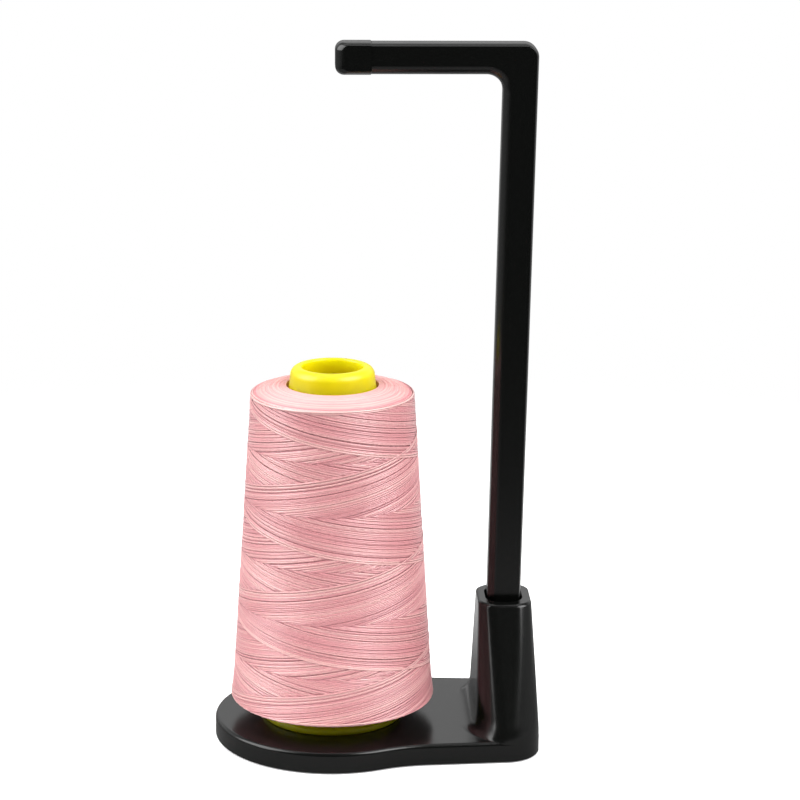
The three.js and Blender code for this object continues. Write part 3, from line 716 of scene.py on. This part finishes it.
def arm_piece(material):
    arm = make_object("guide_arm_moulding", rounded_slab(arm_outline, ARM_DEPTH / 2, ARM_EDGE))
    # The tenon at its free end, which the cap is pushed on to
    right = CAP_END + CAP_LENGTH + CLEARANCE + PAST
    tenon = rounded_outline(rectangle(right - TENON_WIDTH, right, TENON_WIDTH), [TENON_CORNER] * 4, 3)
    heights = (ARM_TOP - ARM_HEIGHT + TENON_INSET, ARM_TOP - TENON_INSET)
    join(arm, loft([at_height(tenon, z) for z in heights]))
    smooth(arm)
    finish_piece(arm, "arm", material, ["guide_arm"])


def cap_outline(inset):
    """The cap from the front, in X and Z, moved inwards, most at its free end."""
    low = ARM_TOP - ARM_HEIGHT - CAP_PROUD + inset * 0.5
    high = ARM_TOP + CAP_PROUD - inset * OUTER_EDGE / ARM_EDGE
    root = CAP_END + CAP_LENGTH
    corners = [(root, low), (root, high), (CAP_END + inset, high), (CAP_END + inset, low)]
    end = CAP_CORNER - inset / 3
    return rounded_outline(corners, [CAP_ROOT_CORNER, CAP_ROOT_CORNER, end, end], 10)


def cap_piece(material):
    shape = rounded_slab(cap_outline, ARM_DEPTH / 2 + CAP_PROUD, ARM_EDGE)
    cap = make_object("guide_cap_moulding", shape)
    middle = ARM_TOP - ARM_HEIGHT / 2
    right = CAP_END + CAP_LENGTH + PAST
    width = TENON_WIDTH + CLEARANCE
    half_height = ARM_HEIGHT / 2 - TENON_INSET + CLEARANCE
    pocket = np.array(rectangle(right - width, right, width))
    cut(cap, loft([at_height(pocket, z) for z in (middle - half_height, middle + half_height)]))
    # The thread's way in from below, round a ball and out at the back
    below = round_bar(EYE_RADIUS, -ARM_HEIGHT, 0)
    points, faces = round_bar(EYE_RADIUS, 0, ARM_DEPTH)
    behind = (points[:, [0, 2, 1]] * (1, 1, -1), faces)
    half_circle = arc(0, 0, EYE_RADIUS, -QUARTER, QUARTER, 16)
    half_circle[[0, -1], 0] = 0
    ball = revolved(half_circle.tolist(), SMALL_ROUND)
    for passage in (below, behind, ball):
        cut(cap, moved(passage, CAP_END + EYE_FROM_END, 0, middle))
    smooth(cap)
    finish_piece(cap, "arm", material, ["guide_cap"])


# Cone


def cone_radius(z):
    return CONE_NECK + (THREAD_TOP - z) * CONE_SLOPE


def cone_piece(material):
    foot_top = CONE_BOTTOM + CONE_FOOT_HEIGHT
    low_edge, high_edge = CONE_FOOT_EDGES
    inside = CONE_NECK - CONE_WALL
    ring_bottom = CONE_TOP - RING_HEIGHT
    shoulder_x = RING_RADIUS - RING_TAPER - RING_SHOULDER
    shoulder = arc(shoulder_x, CONE_TOP - RING_SHOULDER, RING_SHOULDER, 0, QUARTER, 12)
    lip = arc(CONE_HOLE + RING_LIP, CONE_TOP - RING_LIP, RING_LIP, QUARTER, 2 * QUARTER, 8)
    profile = [
        [CONE_FOOT_RADIUS - CONE_WALL, CONE_BOTTOM],
        [CONE_FOOT_RADIUS - low_edge, CONE_BOTTOM],
        [CONE_FOOT_RADIUS, CONE_BOTTOM + low_edge],
        [CONE_FOOT_RADIUS, foot_top - high_edge],
        [CONE_FOOT_RADIUS - high_edge, foot_top],
        [cone_radius(foot_top + 1), foot_top + 1],
        [cone_radius(THREAD_TOP), THREAD_TOP],
        [RING_RADIUS, THREAD_TOP + THREAD_RISE],
        *shoulder.tolist(),
        *lip[1:].tolist(),
        [CONE_HOLE, ring_bottom],
        [inside, ring_bottom - (inside - CONE_HOLE)],
        [cone_radius(foot_top) - CONE_WALL, foot_top],
    ]
    cone = make_object("thread_cone_moulding", revolved(profile, 160))
    smooth(cone, 50)
    finish_piece(cone, "cone", material, ["thread_cone"])


# Thread


def thread_radius(z):
    flare = THREAD_FLARE * np.clip(1 - (z - THREAD_BOTTOM) / THREAD_FLARE_HEIGHT, 0, 1) ** 2
    return THREAD_RADIUS - (z - THREAD_BOTTOM) * CONE_SLOPE + flare


def set_shade(target, values):
    """Gives each point its shade, from painted shade at 0 in the gaps to a painted highlight at 1
    on a bright crest.
    """
    shade = target.data.attributes.new("shade", "FLOAT", "POINT")
    shade.data.foreach_set("value", values.astype(np.float32))


def core_piece(material):
    """The thread under the outer strands, with the end faces' rings of turns."""
    depth = STRAND_HALF_THICKNESS * 2 + LAYER_DROP + 0.1
    random = np.random.default_rng(5)
    low_outer = thread_radius(THREAD_BOTTOM) - depth
    high_outer = thread_radius(THREAD_TOP) - depth
    low_inner = cone_radius(THREAD_BOTTOM - THREAD_RISE) + CLEARANCE
    high_inner = CONE_NECK + 2 * CLEARANCE
    across = np.linspace(0, 1, END_TURNS * 4 + 1)

    def end_face(inner, outer, middle_z, sign):
        heights = random.uniform(0.02, 0.16, END_TURNS + 1)
        height = np.interp(across, np.linspace(0, 1, END_TURNS + 1), heights)
        ridge = height * np.cos(TURN * across * END_TURNS)
        fall = 1.1 * np.clip((across - END_RIM) / (1 - END_RIM), 0, 1) ** 2
        rise = THREAD_RISE * (1 - across**1.6) - 0.2 + ridge - fall
        return np.column_stack((inner + (outer - inner) * across, middle_z + sign * rise))

    low = end_face(low_inner, low_outer, THREAD_BOTTOM, -1)
    high = end_face(high_inner, high_outer, THREAD_TOP, 1)[::-1]
    side_z = np.linspace(THREAD_BOTTOM + 0.8, THREAD_TOP - 0.8, 24)
    side = np.column_stack((thread_radius(side_z) - depth, side_z))
    segments = 120
    core = make_object("thread_package", revolved(np.vstack((low, side, high)), segments), 60)
    # The end faces' turns differ in tone at random. Painted shade darkens the whole lower end, which
    # faces down, and the groove inside the rim. The side only shows in the gaps between the strands,
    # and is painted darker there as shade.
    groove_painted_shade = 0.22 * np.exp(-(((across[::-1] - END_RIM) / 0.03) ** 2))
    tones_and_painted_shade = np.concatenate((
        0.36 + random.normal(0, 0.05, len(low)), np.full(len(side), 0.55),
        0.6 + random.normal(0, 0.05, len(high)) - groove_painted_shade,
    ))
    set_shade(core, np.repeat(np.clip(tones_and_painted_shade, 0, 0.9), segments))
    finish_piece(core, "cone", material, ["thread_core"])


def strand_passes():
    """The strands' passes along the package, oldest first: a pass's age and, at each step, the turns
    wound since the top, the turns from the front, and from 0 to 1 how far it is under a newer one.
    Each downward pass lies a pitch below the one before it and each upward pass a pitch above."""
    turns = (THREAD_TOP - THREAD_BOTTOM) / LEAD
    count = round(LEAD / STRAND_PITCH)
    random = np.random.default_rng(11)
    wound = np.linspace(0, turns, round(turns * STEPS_PER_TURN) + 1)
    passes = []
    for age in range(count - 1, -1, -1):
        for upward in (False, True):
            # A strand wanders by up to a fifth of a pitch on its way. The newest two don't.
            drift = 0.2 * np.sin(wound * random.uniform(1, 4) + random.uniform(0, TURN))
            shift = (age + (random.normal(0, 0.16) + drift) * min(age, 1)) / count
            if upward:
                turn_at = FIRST_UP + shift - wound
                other = (turn_at - wound + FIRST_DOWN) % 1 * count
            else:
                turn_at = wound - FIRST_DOWN + shift
                other = (wound + turn_at - FIRST_UP) % 1 * count
            under = np.clip((age - other) / CROSSING + 0.5, 0, 1)
            passes.append((age, wound, turn_at, under * under * (3 - 2 * under)))
    return passes, random


def strand_middle(wound, turn_at, depth):
    """A strand's middle line, and the package's outward direction along it."""
    z = THREAD_TOP - wound * LEAD
    z = np.clip(z, THREAD_BOTTOM + STRAND_HALF_WIDTH, THREAD_TOP - STRAND_HALF_WIDTH)
    edge = np.clip(1 - np.minimum(z - THREAD_BOTTOM, THREAD_TOP - z) / EDGE_ROUND, 0, 1)
    angle = TURN * turn_at - QUARTER
    radius = thread_radius(z) - depth - EDGE_ROUND * 0.5 * (1 - np.sqrt(1 - edge**2))
    slope = math.atan(CONE_SLOPE)
    outward = round_the_axis(math.cos(slope), angle, np.full(len(z), math.sin(slope)))
    return round_the_axis(radius, angle, z), outward


def unit(vectors):
    return vectors / np.linalg.norm(vectors, axis=1)[:, None]


def rim_turns(random):
    """Short stretches that run round the package's two rims, where the strands turn back: points
    and outward directions."""
    stretches = []

    def add_stretch(end, sign, angle, tilt, reach):
        # The tilt says where on the rim's rounding it lies: 0 is the wall, a quarter turn the end.
        radius = thread_radius(end) - EDGE_ROUND - 0.1 + reach * np.cos(tilt)
        z = end + sign * (reach * np.sin(tilt) - EDGE_ROUND + 0.15)
        outward = round_the_axis(np.cos(tilt), angle, sign * np.sin(tilt))
        stretches.append((round_the_axis(radius, angle, z), outward))

    for end, sign, count in ((THREAD_TOP, 1, 22), (THREAD_BOTTOM, -1, 20)):
        for _ in range(count):
            length = random.uniform(0.12, 0.4)
            share = np.linspace(0, 1, round(length * RIM_STEPS_PER_TURN) + 2)
            angle = TURN * (random.random() + share * length)
            bow = np.sin(math.pi * share)
            tilt = QUARTER * (random.uniform(0.15, 1.1) + random.uniform(-0.2, 0.2) * bow)
            # Its two ends sink into the package.
            add_stretch(end, sign, angle, tilt, EDGE_ROUND - 0.05 - 0.6 * (1 - bow) ** 2)
    # One turn lies proud along the whole top rim.
    angle = np.linspace(0, TURN, 180)
    tilt = QUARTER * (0.42 + 0.12 * np.sin(angle + 2) + 0.05 * np.sin(3 * angle))
    add_stretch(THREAD_TOP, 1, angle, tilt, EDGE_ROUND + 0.12)
    return stretches


def strand_ring(middle, outward):
    """The corners of a flattened strand round its middle line."""
    along = unit(np.gradient(middle, axis=0))
    across = unit(np.cross(along, outward))
    up = np.cross(across, along)
    ring = []
    for k in range(STRAND_SIDES):
        turn = TURN * k / STRAND_SIDES
        side = across * STRAND_HALF_WIDTH * math.cos(turn)
        ring.append(middle + side + up * STRAND_HALF_THICKNESS * math.sin(turn))
    return np.stack(ring, axis=1).reshape(-1, 3)


def strand_faces(first, steps):
    faces = []
    last = first + steps * STRAND_SIDES
    for low in range(first, last, STRAND_SIDES):
        for k in range(STRAND_SIDES):
            a = low + k
            b = low + (k + 1) % STRAND_SIDES
            faces.append((a, a + STRAND_SIDES, b + STRAND_SIDES, b))
    faces.append(tuple(first + k for k in range(STRAND_SIDES)))
    faces.append(tuple(last + k for k in reversed(range(STRAND_SIDES))))
    return faces


def winding_piece(material):
    """The two crossing sets of strands. Where two cross, the newer one is on top."""
    passes, random = strand_passes()
    corners, shades, faces = [], [], []

    def add_strand(middle, outward, shade):
        first = sum(len(c) for c in corners)
        corners.append(strand_ring(middle, outward))
        shades.append(np.repeat(np.clip(shade, 0, 1), STRAND_SIDES))
        faces.extend(strand_faces(first, len(middle) - 1))

    for age, wound, turn_at, under in passes:
        sunk = (age > 1) * (random.random() < SUNK_SHARE)
        newest = math.exp(-age / 1.1)
        height = random.normal(0, 0.025) - 0.07 * sunk + 0.1 * newest
        depth = STRAND_HALF_THICKNESS + 0.16 + LAYER_DROP * under - height * (1 - under)
        # Painted shade: light is lost between the strands, so the ones that lie deeper, and those
        # that pass under a newer one, are painted darker. The newest lie proud and get a painted
        # highlight.
        shade = 0.62 + random.normal(0, 0.05) - 0.13 * sunk + 0.1 * newest
        add_strand(*strand_middle(wound, turn_at, depth), shade * (1 - under))
    for middle, outward in rim_turns(random):
        # The turns round the rims are painted a little lighter, a painted highlight where they catch the
        # light.
        add_strand(middle, outward, np.full(len(middle), 0.68 + random.normal(0, 0.08)))
    winding = make_object("thread_strands", (np.vstack(corners), faces), 180)
    set_shade(winding, np.concatenate(shades))
    finish_piece(winding, "cone", material, ["thread_winding"])


# Underneath and on the pin


def cover_piece(material):
    """The plate that closes the base, with recesses for the feet and sinks for the screws."""
    gap = BASE_WALL + CLEARANCE
    top = COVER_UNDERSIDE + COVER_THICKNESS
    rings = [(gap + COVER_CHAMFER, COVER_UNDERSIDE), (gap, COVER_UNDERSIDE + COVER_CHAMFER), (gap, top)]
    cover = make_object("cover_plate", loft([at_height(base_outline(inset), z) for inset, z in rings]))
    low = COVER_UNDERSIDE - PAST
    for x, y in FOOT_PLACES:
        cut(cover, moved(round_bar(FOOT_RADIUS + CLEARANCE, low, FOOT_HEIGHT + CLEARANCE), x, y))
    for x, y in SCREW_PLACES:
        cut(cover, moved(round_bar(SCREW_RADIUS + CLEARANCE, low, COVER_UNDERSIDE + 3), x, y))
        sink = round_bar(SCREW_HEAD_RADIUS + CLEARANCE, low, COVER_UNDERSIDE + SINK_DEPTH)
        cut(cover, moved(sink, x, y))
    smooth(cover)
    finish_piece(cover, "stand", material, ["bottom_cover"])


def screw_pieces(material):
    """Pan-head screws with a cross recess, heads down."""
    low = COVER_UNDERSIDE
    tip = COVER_UNDERSIDE + COVER_THICKNESS + SCREW_LENGTH
    neck = low + SCREW_HEAD_HEIGHT
    profile = [
        [0, low], [1.7, low], [2.3, low + 0.08], [SCREW_HEAD_RADIUS, low + 0.28],
        [SCREW_HEAD_RADIUS, neck], [SCREW_RADIUS, neck], [SCREW_RADIUS, tip - 1], [0.4, tip], [0, tip],
    ]
    for i, (x, y) in enumerate(SCREW_PLACES, 1):
        screw = make_object(f"cross_screw_{i}", moved(revolved(profile, SMALL_ROUND), x, y))
        # The two slots of the cross taper upwards.
        for half_length, half_width in ((1.6, 0.35), (0.35, 1.6)):
            corners = np.array(rectangle(-half_length, half_length, half_width))
            slot = loft([at_height(corners, low - PAST), at_height(corners * 0.75, low + 0.3)])
            cut(screw, moved(slot, x, y))
        smooth(screw)
        finish_piece(screw, "stand", material, [f"cover_screw_{i}"])


def foot_pieces(material):
    """Rubber pads that rest on a ring, with a shallow dish inside it."""
    profile = [
        [0, 0.25], [3.9, 0.25], [4.2, 0], [FOOT_RADIUS - 0.5, 0], [FOOT_RADIUS - 0.15, 0.15],
        [FOOT_RADIUS, 0.5], [FOOT_RADIUS, FOOT_HEIGHT], [0, FOOT_HEIGHT],
    ]
    for i, (x, y) in enumerate(FOOT_PLACES, 1):
        foot = make_object(f"rubber_pad_{i}", moved(revolved(profile, LARGE_ROUND), x, y))
        smooth(foot)
        finish_piece(foot, "stand", material, [f"rubber_foot_{i}"])


def pin_piece(material):
    """The round-ended rod with the blind hole for its screw."""
    low = PLATE_TOP + CLEARANCE
    tip = arc(0, PIN_TOP - PIN_RADIUS, PIN_RADIUS, 0, QUARTER, 10)
    tip[-1, 0] = 0
    profile = [
        [0, PIN_HOLE_TOP], [PIN_HOLE_RADIUS, PIN_HOLE_TOP], [PIN_HOLE_RADIUS, low],
        [PIN_RADIUS - 0.4, low], [PIN_RADIUS, low + 0.4], *tip.tolist(),
    ]
    pin = make_object("pin_rod", revolved(profile, LARGE_ROUND))
    smooth(pin)
    finish_piece(pin, "stand", material, ["spool_pin"])


def adapter_piece(material):
    """A hub that turns on the pin, and fins with rounded edges that follow the inside of the cone."""
    tube = [
        [ADAPTER_BORE, ADAPTER_BOTTOM], [ADAPTER_HUB, ADAPTER_BOTTOM],
        [ADAPTER_HUB, ADAPTER_TOP - 0.5], [ADAPTER_HUB - 0.5, ADAPTER_TOP],
        [ADAPTER_BORE + 0.4, ADAPTER_TOP], [ADAPTER_BORE, ADAPTER_TOP - 0.4],
    ]
    adapter = make_object("adapter_moulding", revolved(tube, LARGE_ROUND))
    sharp = 0.05
    edge = FIN_THICKNESS / 2 - sharp

    def fin_at(z, cut_back):
        reach = cone_radius(z) - CONE_WALL - CLEARANCE - cut_back
        corners = rectangle(ADAPTER_HUB - FIN_ROOT, reach, FIN_THICKNESS / 2)
        return at_height(rounded_outline(corners, [edge, edge, sharp, sharp], 6), z)

    rings = [fin_at(z, 0) for z in np.linspace(ADAPTER_BOTTOM, ADAPTER_TOP - FIN_CORNER, 6)]
    for cut_back, drop in rounding(FIN_CORNER, 10)[1:]:
        rings.append(fin_at(ADAPTER_TOP - drop, cut_back))
    points, faces = loft(rings)
    for i in range(FIN_COUNT):
        turned = points @ np.array(Matrix.Rotation(TURN * i / FIN_COUNT, 3, "Z")).T
        join(adapter, (turned, faces))
    smooth(adapter)
    finish_piece(adapter, "adapter", material, ["cone_adapter"])


# Camera, floor and light


def camera():
    """The photograph's camera: a metre in front, looking 14.5 degrees down through a long lens."""
    ahead = Vector((
        math.sin(HEADING) * math.cos(PITCH), math.cos(HEADING) * math.cos(PITCH), -math.sin(PITCH)
    ))
    right = Vector((math.cos(HEADING), -math.sin(HEADING), 0))
    up = right.cross(ahead)
    data = bpy.data.cameras.new("camera")
    data.sensor_width = SENSOR_WIDTH
    data.lens = SENSOR_WIDTH * FOCAL_LENGTH / PICTURE_WIDTH
    data.clip_end = 50
    made = add_to_scene("camera", data)
    bpy.context.scene.camera = made
    turned_right = right * math.cos(ROLL) + up * math.sin(ROLL)
    turned_up = up * math.cos(ROLL) - right * math.sin(ROLL)
    columns = Matrix((turned_right, turned_up, -ahead)).transposed().to_4x4()
    x, y, z = CAMERA_PLACE
    made.matrix_world = Matrix.Translation(Vector((x + AXIS_X, y, z)) * MM) @ columns


def softbox(name, place, aim, width, height, power):
    data = bpy.data.lights.new(name, "AREA")
    data.shape = "RECTANGLE"
    data.size = width
    data.size_y = height
    data.energy = power
    made = add_to_scene(name, data)
    made.location = place
    made.rotation_mode = "QUATERNION"
    made.rotation_quaternion = (Vector(aim) - Vector(place)).to_track_quat("-Z", "Y")


def set_greys(ramp, *greys):
    """Positions and grey levels along a colour ramp: its first, its last, and those between."""
    stops = ramp.color_ramp.elements
    for i, (position, level) in enumerate(greys):
        stop = stops[i] if i < 2 else stops.new(position)
        stop.position = position
        stop.color = (level, level, level, 1)


def light():
    # Places, what they aim at and sizes in metres, and power in watts
    softbox("left_softbox", (-0.9, -0.1, 0.75), (0, 0, 0.12), 0.9, 1.0, 16)
    softbox("right_softbox", (0.75, -0.42, 0.95), (0, 0, 0.12), 0.9, 0.8, 18)
    softbox("top_softbox", (0, 0.2, 1.2), (0, 0, 0.1), 0.9, 0.7, 3)
    world = bpy.data.worlds.new("studio")
    bpy.context.scene.world = world
    world.use_nodes = True
    tree = world.node_tree
    tree.nodes.clear()
    path = add_node(tree, "ShaderNodeLightPath")
    direction = add_node(tree, "ShaderNodeTexCoord").outputs["Generated"]
    parts = add_node(tree, "ShaderNodeSeparateXYZ", {"Vector": direction})
    # In reflections the sweep behind the stand is white and the room in front of it dark. For soft
    # light the room is brightest overhead, so it stays dim under the thread's overhang.
    behind = add_node(
        tree, "ShaderNodeMapRange", {"Value": parts.outputs["Y"], "From Min": -0.2, "From Max": 0.5},
        interpolation_type="SMOOTHSTEP",
    )
    height = add_node(tree, "ShaderNodeValToRGB", {"Fac": parts.outputs["Z"]})
    set_greys(height, (0.08, 0.3), (0.75, 0.2), (0.3, 0.85), (0.42, 0.95))
    sweep = add_node(
        tree, "ShaderNodeMath", {0: behind.outputs["Result"], 1: height.outputs["Color"], 2: 0.04},
        operation="MULTIPLY_ADD",
    )
    # In reflections, pale boards stand to the right, and to the left and a little behind.
    leftwards = add_node(
        tree, "ShaderNodeVectorMath", {0: direction, 1: (-0.9, 0.5, 0)}, operation="DOT_PRODUCT"
    )
    sideways = add_node(
        tree, "ShaderNodeMath", {0: parts.outputs["X"], 1: leftwards.outputs["Value"]},
        operation="MAXIMUM",
    )
    side = add_node(
        tree, "ShaderNodeMapRange",
        {"Value": sideways.outputs[0], "From Min": 0.45, "From Max": 0.95, "To Max": 0.45},
        interpolation_type="SMOOTHSTEP",
    )
    sides = add_node(
        tree, "ShaderNodeMath", {0: sweep.outputs[0], 1: side.outputs["Result"]}, operation="MAXIMUM"
    )
    dome = add_node(
        tree, "ShaderNodeMapRange",
        {"Value": parts.outputs["Z"], "From Min": 0.4, "From Max": 0.7, "To Min": 0.2, "To Max": 0.6},
    )
    fill = add_node(
        tree, "ShaderNodeMix",
        {"Factor": path.outputs["Is Glossy Ray"], "A": dome.outputs["Result"], "B": sides.outputs[0]},
        data_type="FLOAT",
    )
    seen = add_node(
        tree, "ShaderNodeMath", {0: fill.outputs["Result"], 1: path.outputs["Is Camera Ray"]},
        operation="MAXIMUM",
    )
    background = add_node(
        tree, "ShaderNodeBackground", {"Color": (1, 1, 1, 1), "Strength": seen.outputs[0]}
    )
    add_node(tree, "ShaderNodeOutputWorld", {"Surface": background.outputs[0]})


def floor():
    """A pale floor that fades into the white backdrop."""
    material, tree, place = new_material("pale_paper_sweep")
    far = add_node(tree, "ShaderNodeVectorMath", {0: place}, operation="LENGTH")
    fade = add_node(
        tree, "ShaderNodeMapRange", {"Value": far.outputs["Value"], "From Min": 0.25, "From Max": 0.6},
        interpolation_type="SMOOTHSTEP",
    )
    path = add_node(tree, "ShaderNodeLightPath")
    # In reflections the floor is painted dimmer than the paper, a painted stand-in for low black
    # flags round the stand: dimmest far in front and just behind.
    parts = add_node(tree, "ShaderNodeSeparateXYZ", {"Vector": place})
    depth = add_node(
        tree, "ShaderNodeMapRange", {"Value": parts.outputs["Y"], "From Min": -0.5, "From Max": 0.5}
    )
    painted_flag_darkness = add_node(tree, "ShaderNodeValToRGB", {"Fac": depth.outputs["Result"]})
    set_greys(painted_flag_darkness, (0.15, 0.1), (0.66, 0.45), (0.4, 0.26), (0.44, 0.26), (0.54, 0.15), (0.58, 0.15))
    dimmed = painted_flag_darkness.outputs["Color"]
    tone = add_node(
        tree, "ShaderNodeMix",
        {"Factor": path.outputs["Is Glossy Ray"], "A": linear("#f4f4f4"), "B": dimmed}, data_type="RGBA",
    )
    paper = add_node(tree, "ShaderNodeBsdfDiffuse", {"Color": tone.outputs["Result"]})
    lift = add_node(
        tree, "ShaderNodeMath", {0: path.outputs["Is Camera Ray"], 1: 0.25}, operation="MULTIPLY"
    )
    glow = add_node(tree, "ShaderNodeEmission", {"Color": (1, 1, 1, 1), "Strength": lift.outputs[0]})
    lit = add_node(tree, "ShaderNodeAddShader", {0: paper.outputs[0], 1: glow.outputs[0]})
    clear = add_node(tree, "ShaderNodeBsdfTransparent")
    mix = add_node(
        tree, "ShaderNodeMixShader",
        {"Fac": fade.outputs["Result"], 1: lit.outputs[0], 2: clear.outputs[0]},
    )
    add_node(tree, "ShaderNodeOutputMaterial", {"Surface": mix.outputs[0]})
    mesh = bpy.data.meshes.new("floor")
    angles = np.arange(FLOOR_SIDES) * TURN / FLOOR_SIDES
    rim = round_the_axis(FLOOR_RADIUS, angles, np.zeros(FLOOR_SIDES))
    mesh.from_pydata(rim.tolist(), [], [tuple(range(FLOOR_SIDES))])
    mesh.materials.append(material)
    add_to_scene("floor", mesh)


camera()
light()
floor()
bpy.context.scene.view_settings.view_transform = "Standard"

black_abs = moulded_abs()
# Semi-gloss and slightly waxy: a little light passes into it, and its mottle is about 6 mm wide.
waxy = {
    "IOR": 1.49, "Subsurface Weight": 1.0, "Subsurface Radius": (1, 0.85, 0.05), "Subsurface Scale": 0.02,
}
yellow = moulded_plastic("yellow_polypropylene", "#d1c304", "#c5b700", 0.3, 0.42, 6.25, 0.1, waxy)
thread = trilobal_polyester("trilobal_polyester", 0.36, 1.0)
# The ends of the package show the turns edge-on, which looks matt.
thread_ends = trilobal_polyester("trilobal_polyester_turns", 0.6, 0.4, True)
cover_abs = moulded_plastic("matt_abs", "#202120", "#161716", 0.5, 0.7, 0.4)
adapter_plastic = moulded_plastic("natural_polypropylene", "#dcdcd6", "#d2d2cc", 0.4, 0.55, 0.8)
rubber = moulded_plastic("moulded_rubber", "#262626", "#1c1c1c", 0.75, 0.95, 0.3)
steel = zinc_plated_steel()

base_piece(black_abs)
arm_piece(black_abs)
cap_piece(black_abs)
cone_piece(yellow)
core_piece(thread_ends)
winding_piece(thread)
cover_piece(cover_abs)
screw_pieces(steel)
foot_pieces(rubber)
pin_piece(steel)
adapter_piece(adapter_plastic)

# The steel pieces inside the base keep their CAD shapes.
for name in ("ballast_plate", "pin_screw", "pin_washer"):
    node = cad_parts[name]
    node.data.materials.clear()
    node.data.materials.append(steel)
